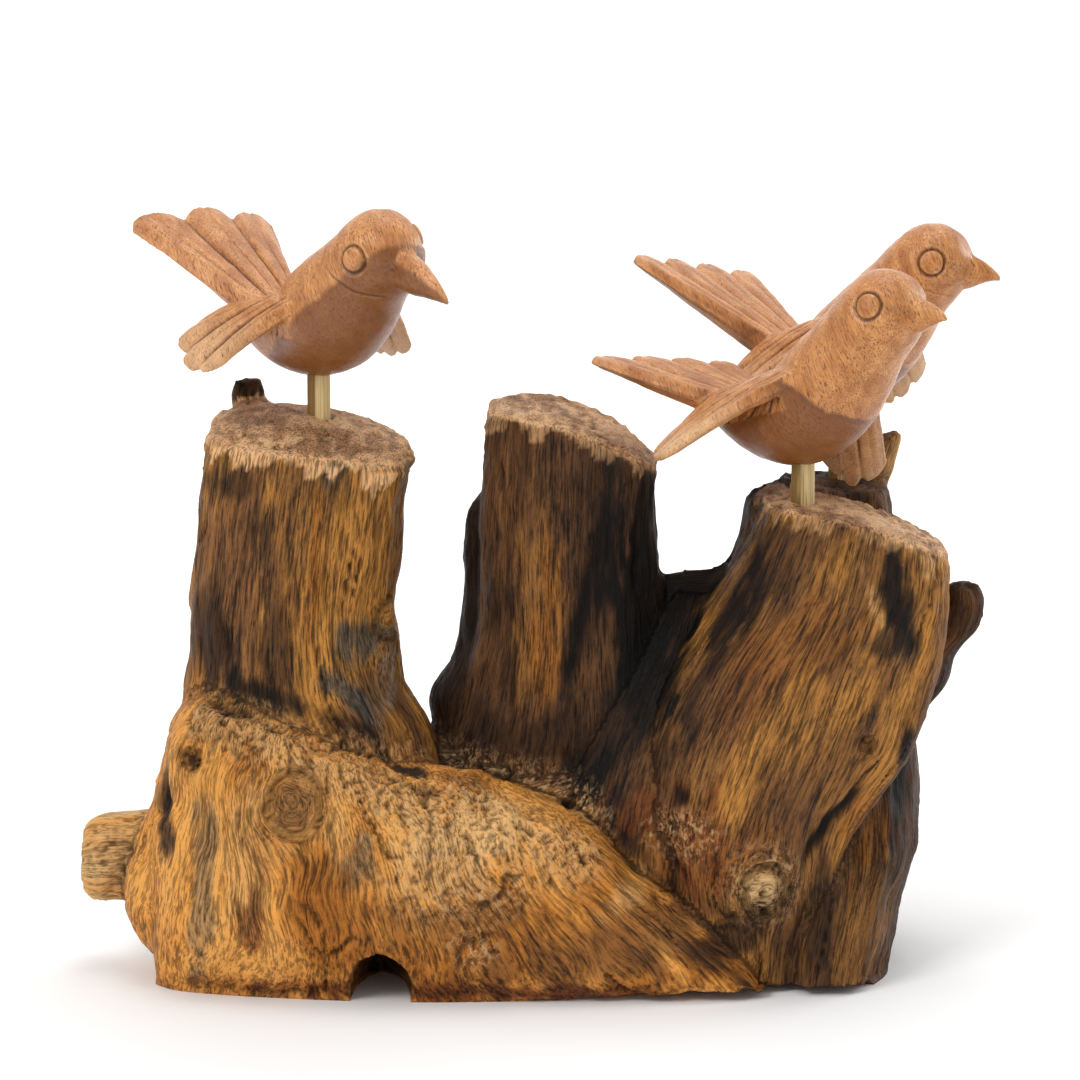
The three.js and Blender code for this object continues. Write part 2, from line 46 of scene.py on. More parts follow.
# The root's limbs. A limb's slices run from its foot to its end as [height, left, right, front, back], or
# for a lying limb as [x, front, back, bottom, top]. slope tips its end face by mm per mm across and deep,
# bow rounds that off, lobes flute its sides as [count, depth, phase, twist], and knots swell it as [height,
# bearing, rise, spread].
LIMBS = {
    "left_trunk": dict(
        slices=[
            [-6, -107, -28, -38, 32], [30, -109, -30, -40, 33],
            [62, -109, -31, -36, 31], [76, -108, -35, -32, 29],
            [90, -106.5, -42, -30, 27], [112, -104.5, -44.5, -28, 26],
            [140, -102.5, -42, -27, 25], [168.5, -99, -38, -26, 24],
        ],
        slope=[-0.13, 0.18],
        bow=[0.0056, 0.0072],
        lobes=[[3, 0.03, 0.4, 0.3], [7, 0.015, 1.2, -0.6]],
        knots=[[104, -20, 4, 8], [84, -60, 3, 9], [116, 175, 2, 9]],
    ),
    "middle_trunk": dict(
        slices=[
            [-6, -30, 46, -15, 40], [40, -32, 48, -16, 40],
            [62, -29, 46, -15, 38], [80, -24, 43, -15, 36],
            [104, -19, 39, -14, 34], [125, -18.5, 37.5, -13, 32],
            [150, -17, 37, -12, 29], [168, -16, 37, -11, 27],
        ],
        slope=[-0.34, 0.14],
        bow=[0.009, 0],
        lobes=[[3, 0.03, 2.2, 0.5], [8, 0.02, 0.4, 1.1]],
    ),
    "middle_foot": dict(
        slices=[
            [40, -32, -6, 2, 28], [58, -31, -6, 3, 28],
            [72, -32, -4, 3, 27], [82, -33, -4, 4, 26],
            [94, -26, -4, 6, 25], [112, -23.5, -6, 8, 24],
            [130, -24, -8, 9, 23], [140, -23, -9, 10, 22],
            [144, -20, -11, 12, 20],
        ],
        slope=[0.3, 0],
        lobes=[[4, 0.05, 0, 0.8]],
    ),
    "saddle": dict(
        slices=[
            [12, -5, 24, 12, 100], [30, -5, 24, 8, 117],
            [44, -6, 26, 6, 120], [54, -6, 27, 6, 121],
            [62, -6, 27, 6, 128], [76, -5, 26, 6, 126],
        ],
        along="x",
        lobes=[[5, 0.03, 0.5, 1.5]],
    ),
    "web": dict(
        slices=[
            [16, 4, 60, -34, 20], [44, 4, 58, -31, 20],
            [60, 8, 58, -28, 20], [75, 14, 60, -22.5, 20],
            [90, 21, 62, -16.5, 20], [104, 29, 64, -9, 20],
            [114, 37, 62, -1, 18],
        ],
        lobes=[[3, 0.03, 0.4, 1.1]],
    ),
    "right_trunk": dict(
        slices=[
            [-6, 40, 84, -36, 24], [20, 34, 88, -38, 26],
            [50, 26, 98, -37, 26], [75, 28, 113, -34, 24],
            [95, 38, 119, -31, 22], [115, 53, 122.5, -29, 18],
            [141, 66, 123, -27, 14],
        ],
        slope=[-0.29, 0.05],
        bow=[0.005, 0.001],
        lobes=[[4, 0.03, 1, 0.7], [9, 0.018, 0, -1.2]],
        knots=[[30, -95, 5, 8]],
    ),
    "right_horn": dict(
        slices=[
            [96, 44, 76, 0, 22], [122, 56, 77, -8, 18],
            [138, 61, 77, -10, 14], [145.5, 62.5, 76, -9, 11],
        ],
        slope=[0.4, 0.2],
        lobes=[[3, 0.05, 0.7, 1]],
    ),
    "back_trunk": dict(
        slices=[
            [-6, 66, 104.5, -39, 54], [14, 68, 107, -37, 56],
            [28, 70, 111.5, -30, 57], [38, 70, 116, -20, 58],
            [60, 70, 116.5, -6, 60], [90, 70, 112, 8, 61],
            [120, 72, 111, 18, 61], [143, 74, 109, 28, 60],
        ],
        slope=[-0.06, 0.08],
        lobes=[[4, 0.035, 0.3, 0.9], [7, 0.02, 2, -1]],
    ),
    "back_splinter": dict(
        slices=[
            [110, 94, 106, 46, 59], [135, 100, 108, 47, 58],
            [156, 107, 113.5, 48, 57],
        ],
        slope=[0.25, 0],
        lobes=[[3, 0.05, 0, 1]],
    ),
    "right_knob": dict(
        slices=[
            [66, 100, 114, 2, 24], [76, 105, 117, 4, 24],
            [83, 110, 123.5, 6, 22], [94, 115, 127.5, 7, 21],
            [100, 119, 133, 7, 20], [109, 121.5, 136, 8, 20],
            [116, 124, 133.5, 10, 18],
        ],
        lobes=[[3, 0.05, 1.3, 1.5]],
    ),
    "left_spur": dict(
        slices=[
            [110, -95, -81, 10, 25], [150, -94, -82.5, 15, 27],
            [177, -93, -83.7, 18, 26],
        ],
        lobes=[[3, 0.06, 0, 1]],
    ),
    "front_root": dict(
        slices=[
            [-115, -30, 0, -6, 62], [-109, -39, 0, -6, 80],
            [-98, -45, 0, -6, 90], [-70, -50, 0, -6, 78],
            [-41, -52, 0, -6, 68], [-12, -51, 0, -6, 62],
            [5, -49, 0, -6, 55], [18, -49, 2, -6, 49],
            [30, -48, 2, -6, 37], [48, -46, 2, -6, 24],
            [64, -44, 2, -6, 8], [70, -43, 2, -6, 1],
        ],
        along="x",
        lobes=[[5, 0.02, 0.8, 3]],
    ),
    "left_buttress": dict(
        slices=[
            [0, -113, -80, -24, 10], [12, -122, -80, -27, 13],
            [22, -126, -80, -28, 14], [38, -123, -80, -28, 14],
            [56, -117, -82, -26, 12], [74, -109, -88, -20, 8],
        ],
        lobes=[[3, 0.04, 0.5, 0.8]],
    ),
    "left_stub": dict(
        slices=[
            [-138.5, -10, 12, 22, 42], [-135, -12, 14, 19, 45.5],
            [-122, -12, 14, 18, 47], [-100, -15, 15, 14, 50],
        ],
        along="x",
        lobes=[[5, 0.03, 0, 0.4]],
    ),
    "back_fill": dict(
        slices=[
            [-84, -6, 34, -6, 60], [-50, -8, 38, -6, 69],
            [-15, -22, 44, -6, 68], [20, -22, 48, -6, 76],
            [50, -22, 50, -6, 84], [92, -22, 48, -6, 60],
        ],
        along="x",
        lobes=[[5, 0.03, 0.4, 4]],
    ),
}
# Balls taken out of the underside: the arch under the front root, and the lift of the right foot.
HOLLOW = {"centre": [-47, -46, 0], "size": [9, 34, 15]}
LIFT = {"centre": [64, -45, 0], "size": [56, 26, 2.4]}

# Crevices that the solid has too: [path, half width].
CREVICES = [
    ([[-104, -30, 92], [-82, -36, 85], [-61, -38, 78], [-30, -40, 63]], 3.2),
    ([[70, -15, 147], [66, -18, 130], [57, -24, 104]], 2.8),
    ([[25, -49, 44], [46, -48, 25], [66, -44, 4]], 2.4),
]

# A bird in its own frame, with its peg's end at the origin. The spine runs from the rump to the crown as
# [forward, up, half thickness, half width], and the beak, in the head's frame, as [share of its length, up,
# half thickness, half width].
SPINE = [
    [-28, 14.5, 3, 8], [-20, 13.5, 8, 11.5], [-11, 13.5, 12, 13.5], [-2, 15.5, 14.8, 15],
    [6, 21.5, 16.2, 16], [14, 30.5, 15.6, 15], [21.5, 40.5, 13.3, 13], [28, 48, 12.7, 12.2],
    [31.5, 51.7, 11.7, 11.2], [34.6, 55, 8.9, 8.6], [36.3, 56.9, 5, 4.9], [36.9, 57.6, 0.6, 0.6],
]
BEAK = [
    [0.15, 0.3, 6, 5.4], [0.5, 0.4, 5.5, 4.6], [0.72, 0.6, 3.6, 3],
    [0.9, 0.3, 1.7, 1.5], [1, -0.5, 0.5, 0.5],
]
HEAD = [29, 47.8]  # the middle of the head, forward and up
BELLY_MIDDLE = 14  # the height above which a bird's stature counts

# Where the tail and a wing leave the body, then thickness there, taper and scallop.
TAIL_ROOT = [[-15, 8, 15], [-15, 0, 15.5], [-15, -8, 15]]
TAIL = (9, 0.66, 0.1)
WING_ROOT = [[-17, 5, 22], [-5, 8, 27], [7, 9, 31], [17, 8, 33]]
WING = (6.5, 0.62, 0.08)
WING_FEATHERS = 4

# The way out to an eye from the middle of the head, and the radii of its ring and of the crown inside.
EYE_TOWARD = (1, 11, 3.2)
EYE_RING, EYE_CROWN = 4.1, 3.2

# Each bird: the place where its peg leaves the wood, the height of the peg's upper end, the turn to its
# left, how long, tall and thick it is against the spine's table, its beak's length, the head's angles, and
# the tips of its tail and wings.
BIRDS = {
    "left": dict(
        peg=[-66.1, 2, 167],
        belly=179,
        yaw=-50,
        reach=1.12,
        stature=0.74,
        bulk=1.06,
        beak=32,
        head={"tilt": 18, "nod": 22, "turn": 0},
        tail_feathers=3,
        tail=[[-60, 26, 43.5], [-60, 0, 47.5], [-65, -28, 45]],
        right_wing=[[-31, 13, 18.5], [-32, 28, 10.5], [-20, 33, 3], [-8, 31.5, 4]],
        left_wing=[[-24, 17, 14], [-15, 33, 5], [-9, 36, 4], [-2, 38, 6]],
    ),
    "front": dict(
        peg=[77.9, -11, 141],
        belly=153.5,
        yaw=-40,
        reach=1,
        stature=1,
        bulk=1,
        beak=21,
        head={"tilt": 0, "nod": 0, "turn": 0},
        tail_feathers=4,
        tail=[[-45, 27, 25.5], [-54, 0, 29], [-60, -33, 31.5]],
        right_wing=[[-27, 11, 18], [-36, 24, 5], [-31, 32, 3], [-24, 37, 5]],
        left_wing=[[-22, 16, 12], [-12, 30, -4], [-5, 34, -9.5], [4, 38.5, -4]],
    ),
    "back": dict(
        peg=[93.5, 48, 145],
        belly=163,
        yaw=-38,
        reach=1.13,
        stature=0.98,
        bulk=1,
        beak=21,
        head={"tilt": 4, "nod": 8, "turn": 24},
        tail_feathers=4,
        tail=[[-55, 33, 38], [-60, 0, 44], [-59, -35, 48.5]],
        right_wing=[[-20, 12, 20], [-27, 20, 12], [-22, 27, 8], [-14, 31, 8]],
        left_wing=[[-20, 17, 13], [-6, 34, 0], [1, 38, 3], [7, 40, 11]],
    ),
}


# Numbers

def smooth(places, values, at):
    """A cubic Hermite curve through a table's values, each row's tangent taken from its neighbours."""
    places, values = np.asarray(places, float), np.asarray(values, float)
    last = len(places) - 1
    before, after = np.maximum(np.arange(last + 1) - 1, 0), np.minimum(np.arange(last + 1) + 1, last)
    tangent = (values[after] - values[before]) / (places[after] - places[before])
    i = np.clip(np.searchsorted(places, at, side="left") - 1, 0, last - 1)
    span = places[i + 1] - places[i]
    t = np.clip((at - places[i]) / span, 0, 1)
    rise = (2 * t**3 - 3 * t**2 + 1) * values[i] + (3 * t**2 - 2 * t**3) * values[i + 1]
    return rise + span * ((t**3 - 2 * t**2 + t) * tangent[i] + (t**3 - t**2) * tangent[i + 1])


def ease(low, high, x):
    """0 below low, 1 above high and the smooth 3t^2 - 2t^3 step between."""
    t = np.clip((x - low) / (high - low), 0, 1)
    return t * t * (3 - 2 * t)


def mix(a, b, share):
    """From a to b by each place's share. Each is a row for every place, or one row for all."""
    return np.asarray(a) + np.subtract(b, a) * share[:, None]


SPREAD = np.random.default_rng(7).normal(size=(1024, 3))
SPREAD /= np.linalg.norm(SPREAD, axis=1)[:, None]


def noise(p, seed=0):
    """Gradient noise in about -1..1: each whole-number place has its own slope, and a cell blends its
    corners' slopes by 6t^5 - 15t^4 + 10t^3."""
    cell = np.floor(p).astype(np.int64)
    part = p - cell
    blend = part**3 * (part * (part * 6 - 15) + 10)
    total = np.zeros(len(p))
    for corner in np.ndindex(2, 2, 2):
        at = cell + corner
        mark = (at[:, 0] * 73856093) ^ (at[:, 1] * 19349663) ^ (at[:, 2] * 83492791) ^ (seed * 2654435761)
        mark = (mark ^ (mark >> 13)) * 1274126177
        slope = SPREAD[((mark ^ (mark >> 16)) & 1023)]
        weight = np.prod(np.where(corner, blend, 1 - blend), axis=1)
        total += weight * np.einsum("ij,ij->i", slope, part - corner)
    return total * 1.6


def layers(p, count, seed=0):
    """Noise summed over octaves, each twice as fine and half as strong."""
    return sum(noise(p * 2**k, seed + 17 * k) / 2**k for k in range(count))


def ridges(p, seed=0):
    """1 on sharp crests and lower between them: 1 - 2|noise|."""
    return 1 - 2 * np.abs(noise(p, seed))


def scaled(p, across, along):
    """Grain places for a pattern that is across mm wide and along mm long."""
    return p / np.array([across, across, along])


def near_path(p, path):
    """Each place's distance from a line through the path's places, and its share of the way along."""
    best, share = np.full(len(p), 1e9), np.zeros(len(p))
    path = np.asarray(path, float)
    for k, (a, b) in enumerate(zip(path[:-1], path[1:])):
        t = np.clip(((p - a) @ (b - a)) / ((b - a) @ (b - a)), 0, 1)
        away = np.linalg.norm(p - a - t[:, None] * (b - a), axis=1)
        closer = away < best
        best[closer], share[closer] = away[closer], ((k + t) / (len(path) - 1))[closer]
    return best, share


# Surfaces

def closed_grid(rows, flat=False):
    """Points and faces of a closed skin: quads between neighbouring rows of points that each run round
    once, and over each end row a fan to its middle, or if the form is flat, quads from its one side to the
    other."""
    count, sides = rows.shape[:2]
    ring = np.arange(sides)
    turn = (ring + 1) % sides
    start = sides * np.arange(count - 1)[:, None]
    quads = np.stack([start + ring, start + turn, start + sides + turn, start + sides + ring], -1)
    last, low = (count - 1) * sides, count * sides
    under = np.stack([0 * ring + low, turn, ring], 1)
    over = np.stack([0 * ring + low + 1, last + ring, last + turn], 1)
    if flat:
        near = np.arange(sides // 2 - 1)
        over = last + np.stack([near, near + 1, sides - 2 - near, sides - 1 - near], 1)
        under = over[:, ::-1] - last
    points = rows.reshape(-1, 3)
    if not flat:
        points = np.concatenate([points, [rows[0].mean(0), rows[-1].mean(0)]])
    return points, quads.reshape(-1, 4).tolist() + under.tolist() + over.tolist()


def limb_sizes(limb, height):
    """The left, right, front and back of a limb at each height, as smooth curves through its slices."""
    table = np.array(limb["slices"], float)
    return [smooth(table[:, 0], table[:, k], height) for k in (1, 2, 3, 4)]


def end_face(limb, x, y):
    """How much higher a limb's end face is at a place across and deep: its slope, less bow * place^2."""
    slope, bow = limb.get("slope", [0, 0]), limb.get("bow", [0, 0])
    return slope[0] * x + slope[1] * y - bow[0] * x**2 - bow[1] * y**2


def limb_surface(limb, sides=120, step=2.5):
    """A limb: its slice at each height is a superellipse between the table's sides, times its lobes'
    cosines and swollen at its knots by rise * exp(-(distance / spread)^2), with its end face tipped and
    bowed. The rows go from the middle of the foot out, up the wall, and in to the middle of the end."""
    table = np.array(limb["slices"], float)
    foot, end = table[0, 0], table[-1, 0]
    walls = max(8, int((end - foot) / step))
    inner = np.linspace(0.1, 0.93, 7)
    share = np.concatenate([np.zeros(7), np.linspace(0, 1, walls), np.ones(7)])[:, None]
    reach = np.concatenate([inner, np.ones(walls), inner[::-1]])[:, None]
    turn = np.linspace(0, 2 * math.pi, sides, endpoint=False)[None, :]
    height = foot + share * (end - foot) + 0 * turn
    low, high, near, far = limb_sizes(limb, height)
    wide, deep = (high - low) / 2, (far - near) / 2
    flutes, swell = 1 + 0 * height, 0 * height
    for count, depth, phase, twist in limb.get("lobes", []):
        flutes = flutes + depth * np.cos(count * turn + phase + 3 * twist * share)
    for at, bearing, rise, spread in limb.get("knots", []):
        apart = math.radians(bearing) - turn
        arc = np.arctan2(np.sin(apart), np.cos(apart)) * np.maximum(wide, deep)
        swell = swell + rise * np.exp(-((height - at) ** 2 + arc**2) / spread**2)
    c, s = np.cos(turn), np.sin(turn)
    power = 2 / SQUARENESS
    x = reach * (np.sign(c) * np.abs(c) ** power * wide * flutes + c * swell)
    y = reach * (np.sign(s) * np.abs(s) ** power * deep * flutes + s * swell)
    z = height + share**3 * end_face(limb, x, y)
    spots = np.stack([(low + high) / 2 + x, (near + far) / 2 + y, z], -1)
    return closed_grid(spots[..., [2, 0, 1]] if limb.get("along") == "x" else spots)


def loft(line, sides=96, rings=150):
    """A round form carried along a line in a bird's middle plane: rows of [forward, up, half thickness,
    half width], each slice an ellipse square to the line."""
    table = np.array(line, float)
    rows = np.arange(len(table))
    t = np.linspace(0, len(table) - 1, rings)[:, None]
    turn = np.linspace(0, 2 * math.pi, sides, endpoint=False)[None, :]

    def value(k, at):
        return smooth(rows, table[:, k], at)

    lean = np.arctan2(value(1, t + 0.01) - value(1, t - 0.01), value(0, t + 0.01) - value(0, t - 0.01))
    thick, wide = value(2, t) * np.sin(turn), value(3, t) * np.cos(turn)
    spots = np.stack([value(0, t) - np.sin(lean) * thick, wide, value(1, t) + np.cos(lean) * thick], -1)
    return closed_grid(spots)


def spline(places, at):
    """A Catmull-Rom curve through evenly numbered places, by shares of the way."""
    places = np.asarray(places, float)
    rows = np.arange(len(places))
    return np.stack([smooth(rows, places[:, k], at * rows[-1]) for k in range(3)], -1)


def feather_plate(root, tips, feathers, thick, taper, scallop, face, camber=0, across=220, along=110):
    """A plate of feathers from a root edge to a tip edge, both curves through their places. On its carved
    side each feather is a low roof with a groove beside it, on its other side it is nearly flat, and it
    ends round. A groove is exp(-(distance from the feather's edge / its width)^2), and never takes more
    than 0.4 of the thickness on its side."""
    a = np.linspace(0, 1, across)
    c = np.concatenate([a, a[::-1]])[None, :]
    side = np.concatenate([np.ones(across), -np.ones(across)])[None, :]
    s = np.linspace(0, 1, along)[:, None]
    within = np.where(c == 1, 1, (c * feathers) % 1)
    off = np.abs(2 * within - 1)
    reach = s * (1 - scallop * (0.8 * off**2.2 + 0.2 * within))
    spot = spline(root, c[0])[None] * (1 - reach[..., None]) + spline(tips, c[0])[None] * reach[..., None]
    half_way = np.array(0.5)
    normal = np.cross(np.subtract(tips[-1], tips[0]), spline(tips, half_way) - spline(root, half_way))
    normal /= np.linalg.norm(normal)
    edge = np.minimum(c, 1 - c) * feathers
    half = thick / 2 * (1 - taper * s) * (1 - 0.3 * ease(0.9, 1.0, s))
    half = np.maximum(half * (0.25 + 0.75 * ease(0, 0.3, edge)), 0.7)
    groove = 1.15 * np.exp(-(((1 - off) / 0.16) ** 2))
    shaft = 0.35 * np.exp(-((off / 0.1) ** 2))
    roof = (0.35 * (1 - off**2) - groove - shaft) * ease(0.08, 0.4, s)
    relief = np.where(side == face, roof, -0.4 * groove * ease(0.5, 0.9, s))
    rise = side * (half + np.maximum(relief, -0.4 * half)) + camber * np.sin(math.pi * s)
    return closed_grid(spot + normal * rise[..., None], flat=True)


# Meshes

def mesh_of(name, points, faces):
    mesh = bpy.data.meshes.new(name)
    mesh.from_pydata((points * MM).tolist(), [], faces)
    mesh.update()
    return mesh


def shown(name, mesh):
    piece = bpy.data.objects.new(name, mesh)
    bpy.context.scene.collection.objects.link(piece)
    return piece


def evaluated(piece):
    """The piece's mesh with its modifiers applied, as a new mesh. The piece is taken away."""
    graph = bpy.context.evaluated_depsgraph_get()
    mesh = bpy.data.meshes.new_from_object(piece.evaluated_get(graph))
    bpy.data.objects.remove(piece)
    return mesh


def one_skin(name, surfaces, grain):
    """All the closed surfaces as one skin: their outer hull on a lattice of the given spacing."""
    points, faces, start = [], [], 0
    for some, few in surfaces:
        points.append(some)
        faces += [[start + i for i in face] for face in few]
        start += len(some)
    piece = shown(name, mesh_of(name, np.concatenate(points), faces))
    remesh = piece.modifiers.new("skin", "REMESH")
    remesh.mode = "VOXEL"
    remesh.voxel_size = grain * MM
    return evaluated(piece)


def cut_away(mesh, cutters):
    """The mesh less each cutter, a pair of points and faces."""
    piece = shown("block", mesh)
    others = []
    for k, (points, faces) in enumerate(cutters):
        other = shown(f"cutter{k}", mesh_of(f"cutter{k}", points, faces))
        cut = piece.modifiers.new(f"cut{k}", "BOOLEAN")
        cut.operation, cut.solver, cut.object = "DIFFERENCE", "MANIFOLD", other
        others.append(other)
    bpy.context.view_layer.update()
    result = evaluated(piece)
    for other in others:
        bpy.data.objects.remove(other)
    return result


def box_surface(low, high):
    """A box between two corners."""
    points = np.array(list(itertools.product(*zip(low, high))), float)
    return points, [[0, 1, 3, 2], [4, 6, 7, 5], [0, 4, 5, 1], [2, 3, 7, 6], [0, 2, 6, 4], [1, 5, 7, 3]]


def ellipsoid_surface(centre, size, sides=48, rings=24):
    """A ball stretched by its three sizes."""
    up = np.linspace(-math.pi / 2, math.pi / 2, rings + 2)[1:-1, None]
    turn = np.linspace(0, 2 * math.pi, sides, endpoint=False)[None, :]
    ball = np.stack([np.cos(up) * np.cos(turn), np.cos(up) * np.sin(turn), np.sin(up) + 0 * turn], -1)
    return closed_grid(np.array(centre) + ball * np.array(size))


def places_of(mesh):
    flat = np.empty(len(mesh.vertices) * 3, np.float32)
    mesh.vertices.foreach_get("co", flat)
    return flat.reshape(-1, 3).astype(float) / MM


def normals_of(mesh):
    flat = np.empty(len(mesh.vertices) * 3, np.float32)
    mesh.vertex_normals.foreach_get("vector", flat)
    return flat.reshape(-1, 3).astype(float)


def put_places(mesh, points):
    mesh.vertices.foreach_set("co", (points * MM).astype(np.float32).ravel())
    mesh.update()


def edges_of(mesh):
    flat = np.empty(len(mesh.edges) * 2, np.int32)
    mesh.edges.foreach_get("vertices", flat)
    return flat.reshape(-1, 2)


def averaged(values, edges, rounds):
    """The values after some rounds in which each vertex takes half of its neighbours' mean."""
    values = values.reshape(len(values), -1).copy()
    a, b = edges[:, 0], edges[:, 1]
    count = np.bincount(edges.ravel(), minlength=len(values))[:, None].clip(1)
    for _ in range(rounds):
        total = np.stack(
            [np.bincount(a, v[b], len(values)) + np.bincount(b, v[a], len(values)) for v in values.T], -1
        )
        values = 0.5 * values + 0.5 * total / count
    return values if values.shape[1] > 1 else values[:, 0]


def sunken(points, edges, rounds, normals):
    """How far each vertex lies below the mean of its neighbours, some rounds wide, along its normal."""
    return np.einsum("ij,ij->i", averaged(points, edges, rounds) - points, normals)


def put_attribute(mesh, name, values):
    """A number, a place or a colour for each vertex, by how many values a row has."""
    kinds = {1: ("FLOAT", "value"), 3: ("FLOAT_VECTOR", "vector"), 4: ("FLOAT_COLOR", "color")}
    kind, part = kinds[np.size(values[0])]
    layer = mesh.attributes.new(name, kind, "POINT")
    layer.data.foreach_set(part, values.astype(np.float32).ravel())


def smooth_shaded(mesh):
    mesh.polygons.foreach_set("use_smooth", np.ones(len(mesh.polygons), bool))
    mesh.update()


# The root block

# Eyes of knots on the faces towards the front: [x, height, radius, rise].
KNOTS = [
    [-71.5, 60, 8, -1.4], [-102, 72, 2.6, -2.2], [66.3, 32, 6.5, 1.4], [97, 74, 2.2, -2.0],
    [-44, 109, 5, 1.2],
]

# Colours of the wood, as seen in daylight.
HONEY, GOLD, TAN, PALE = (0.84, 0.59, 0.30), (0.63, 0.43, 0.20), (0.68, 0.51, 0.32), (0.80, 0.66, 0.46)
AMBER, RUST, BROWN, EARTH = (0.55, 0.335, 0.13), (0.36, 0.195, 0.10), (0.37, 0.25, 0.15), (0.43, 0.29, 0.18)
DARK, BLACK = (0.19, 0.13, 0.085), (0.06, 0.045, 0.035)
SLATE, GREY = (0.235, 0.235, 0.24), (0.50, 0.445, 0.385)
CRUST = (0.80, 0.62, 0.44)
SAWN_DARK, SAWN_PALE = (0.60, 0.44, 0.31), (0.92, 0.74, 0.56)

# What colours each limb: its main colour, its second colour, and the second one's share.
LIMB_COLOURS = {
    "left_trunk": (BROWN, GOLD, 0.4), "middle_trunk": (DARK, BROWN, 0.42),
    "middle_foot": (BLACK, DARK, 0.5), "saddle": (BLACK, DARK, 0.4), "web": (BLACK, DARK, 0.45),
    "right_trunk": (BROWN, GOLD, 0.42), "right_horn": (BLACK, DARK, 0.5), "right_knob": (BROWN, DARK, 0.4),
    "back_trunk": (DARK, BROWN, 0.6), "back_splinter": (BROWN, TAN, 0.5), "back_fill": (DARK, BROWN, 0.6),
    "front_root": (HONEY, AMBER, 0.38), "left_buttress": (HONEY, AMBER, 0.4),
    "left_stub": (HONEY, PALE, 0.4), "left_spur": (BROWN, DARK, 0.5),
}

# Patches on the faces towards the front, most of them the wood's own colours and three brown ones painted
# shadow:
# [x, height, half width, half height, lean in degrees, colour, strength].
PATCHES = [
    [-60, 155, 5, 6, 0, SLATE, 0.9], [-45, 141, 4, 12, 0, GOLD, 0.5], [-84, 158, 16, 5, -8, GOLD, 0.6],
    [-88, 122, 16, 34, 0, EARTH, 0.75], [-96, 106, 8, 18, 0, DARK, 0.8], [-82, 138, 5, 10, 0, DARK, 0.7],
    [-78, 104, 6, 16, 0, DARK, 0.6], [-91, 150, 9, 5, 0, DARK, 0.6], [-58, 150, 4, 7, 0, DARK, 0.7],
    [-66, 128, 2, 26, 3, AMBER, 0.7], [-53, 122, 10, 30, -4, GOLD, 0.75], [-52, 104, 8, 7, 30, SLATE, 0.7],
    [-44, 92, 6, 13, 25, GREY, 0.8], [-50, 88, 6, 12, 30, BROWN, 0.6], [-99, 32, 4, 28, 4, SLATE, 0.45],
    [-84, 45, 9, 26, -6, TAN, 0.5], [-84, 22, 5, 10, 10, RUST, 0.6], [-53, 44, 5, 9, 20, SLATE, 0.45],
    [-58, 22, 14, 16, 20, AMBER, 0.7], [18, 24, 52, 28, -24, AMBER, 0.6], [-24, 22, 30, 14, 0, AMBER, 0.5],
    [-22, 52, 22, 9, -10, PALE, 0.6], [-30, 40, 16, 10, 0, TAN, 0.6],
    [8, 44, 12, 10, -20, TAN, 0.5], [0, 14, 34, 8, -4, AMBER, 0.7], [48, 14, 16, 8, -28, AMBER, 0.8],
    # Painted shadow: the brown patches at x 18, height 16, at x -26, height 26, and at x 44, height 24
    # stand for the shade across the front root's lower half.
    [18, 16, 42, 13, -15, BROWN, 0.55], [-20, 3, 70, 3.5, 0, RUST, 0.8], [26, 33, 12, 4, -42, PALE, 0.35],
    [-26, 26, 24, 8, -6, BROWN, 0.45], [-36, 14, 14, 10, 0, AMBER, 0.5], [44, 24, 22, 6, -32, BROWN, 0.4],
    [-1, 114, 10, 38, 1, BROWN, 0.85], [-2, 112, 8, 32, 2, GOLD, 0.4], [2, 104, 4, 26, 3, AMBER, 0.6],
    [29, 112, 12, 38, 0, BLACK, 0.92], [34, 92, 11, 20, 24, BLACK, 0.85], [18, 66, 12, 8, -20, BLACK, 0.9],
    [50, 84, 8, 16, 32, BROWN, 0.7], [34, 62, 12, 12, 20, BROWN, 0.8], [26, 52, 10, 7, -30, RUST, 0.7],
    [8, 74, 26, 9, -10, DARK, 0.8], [56, 112, 7, 14, 20, BLACK, 0.8], [64, 122, 3, 13, 2, BLACK, 0.9],
    [69, 126, 9, 15, 8, DARK, 0.65], [86, 130, 10, 10, 0, GOLD, 0.4], [78, 104, 18, 13, 0, AMBER, 0.4],
    [99, 114, 1.6, 15, -22, TAN, 0.7], [105, 118, 5, 16, -8, BLACK, 0.85], [100, 104, 7, 5, -20, DARK, 0.7],
    [88, 88, 18, 9, 0, GOLD, 0.6], [60, 92, 8, 18, 15, RUST, 0.3], [47, 46, 14, 14, -35, RUST, 0.6],
    [66, 33, 7, 6, 0, PALE, 0.75], [58, 20, 16, 7, -38, DARK, 0.75], [76, 50, 14, 12, 0, BROWN, 0.5],
    [98, 46, 7, 10, 0, AMBER, 0.7], [95, 20, 13, 22, 0, GOLD, 0.4], [110, 60, 3, 18, 0, BLACK, 0.9],
    [84, 22, 4, 20, 8, DARK, 0.8], [128, 104, 6, 12, -20, DARK, 0.5], [-128, 34, 8, 10, 0, TAN, 0.5],
    [-112, 56, 3, 18, -8, DARK, 0.8], [-71.5, 58, 15, 12, 0, TAN, 0.5], [-71.5, 60, 7, 6.5, 0, BROWN, 0.6],
    [-102, 72, 2.6, 2.6, 0, DARK, 0.8],
]

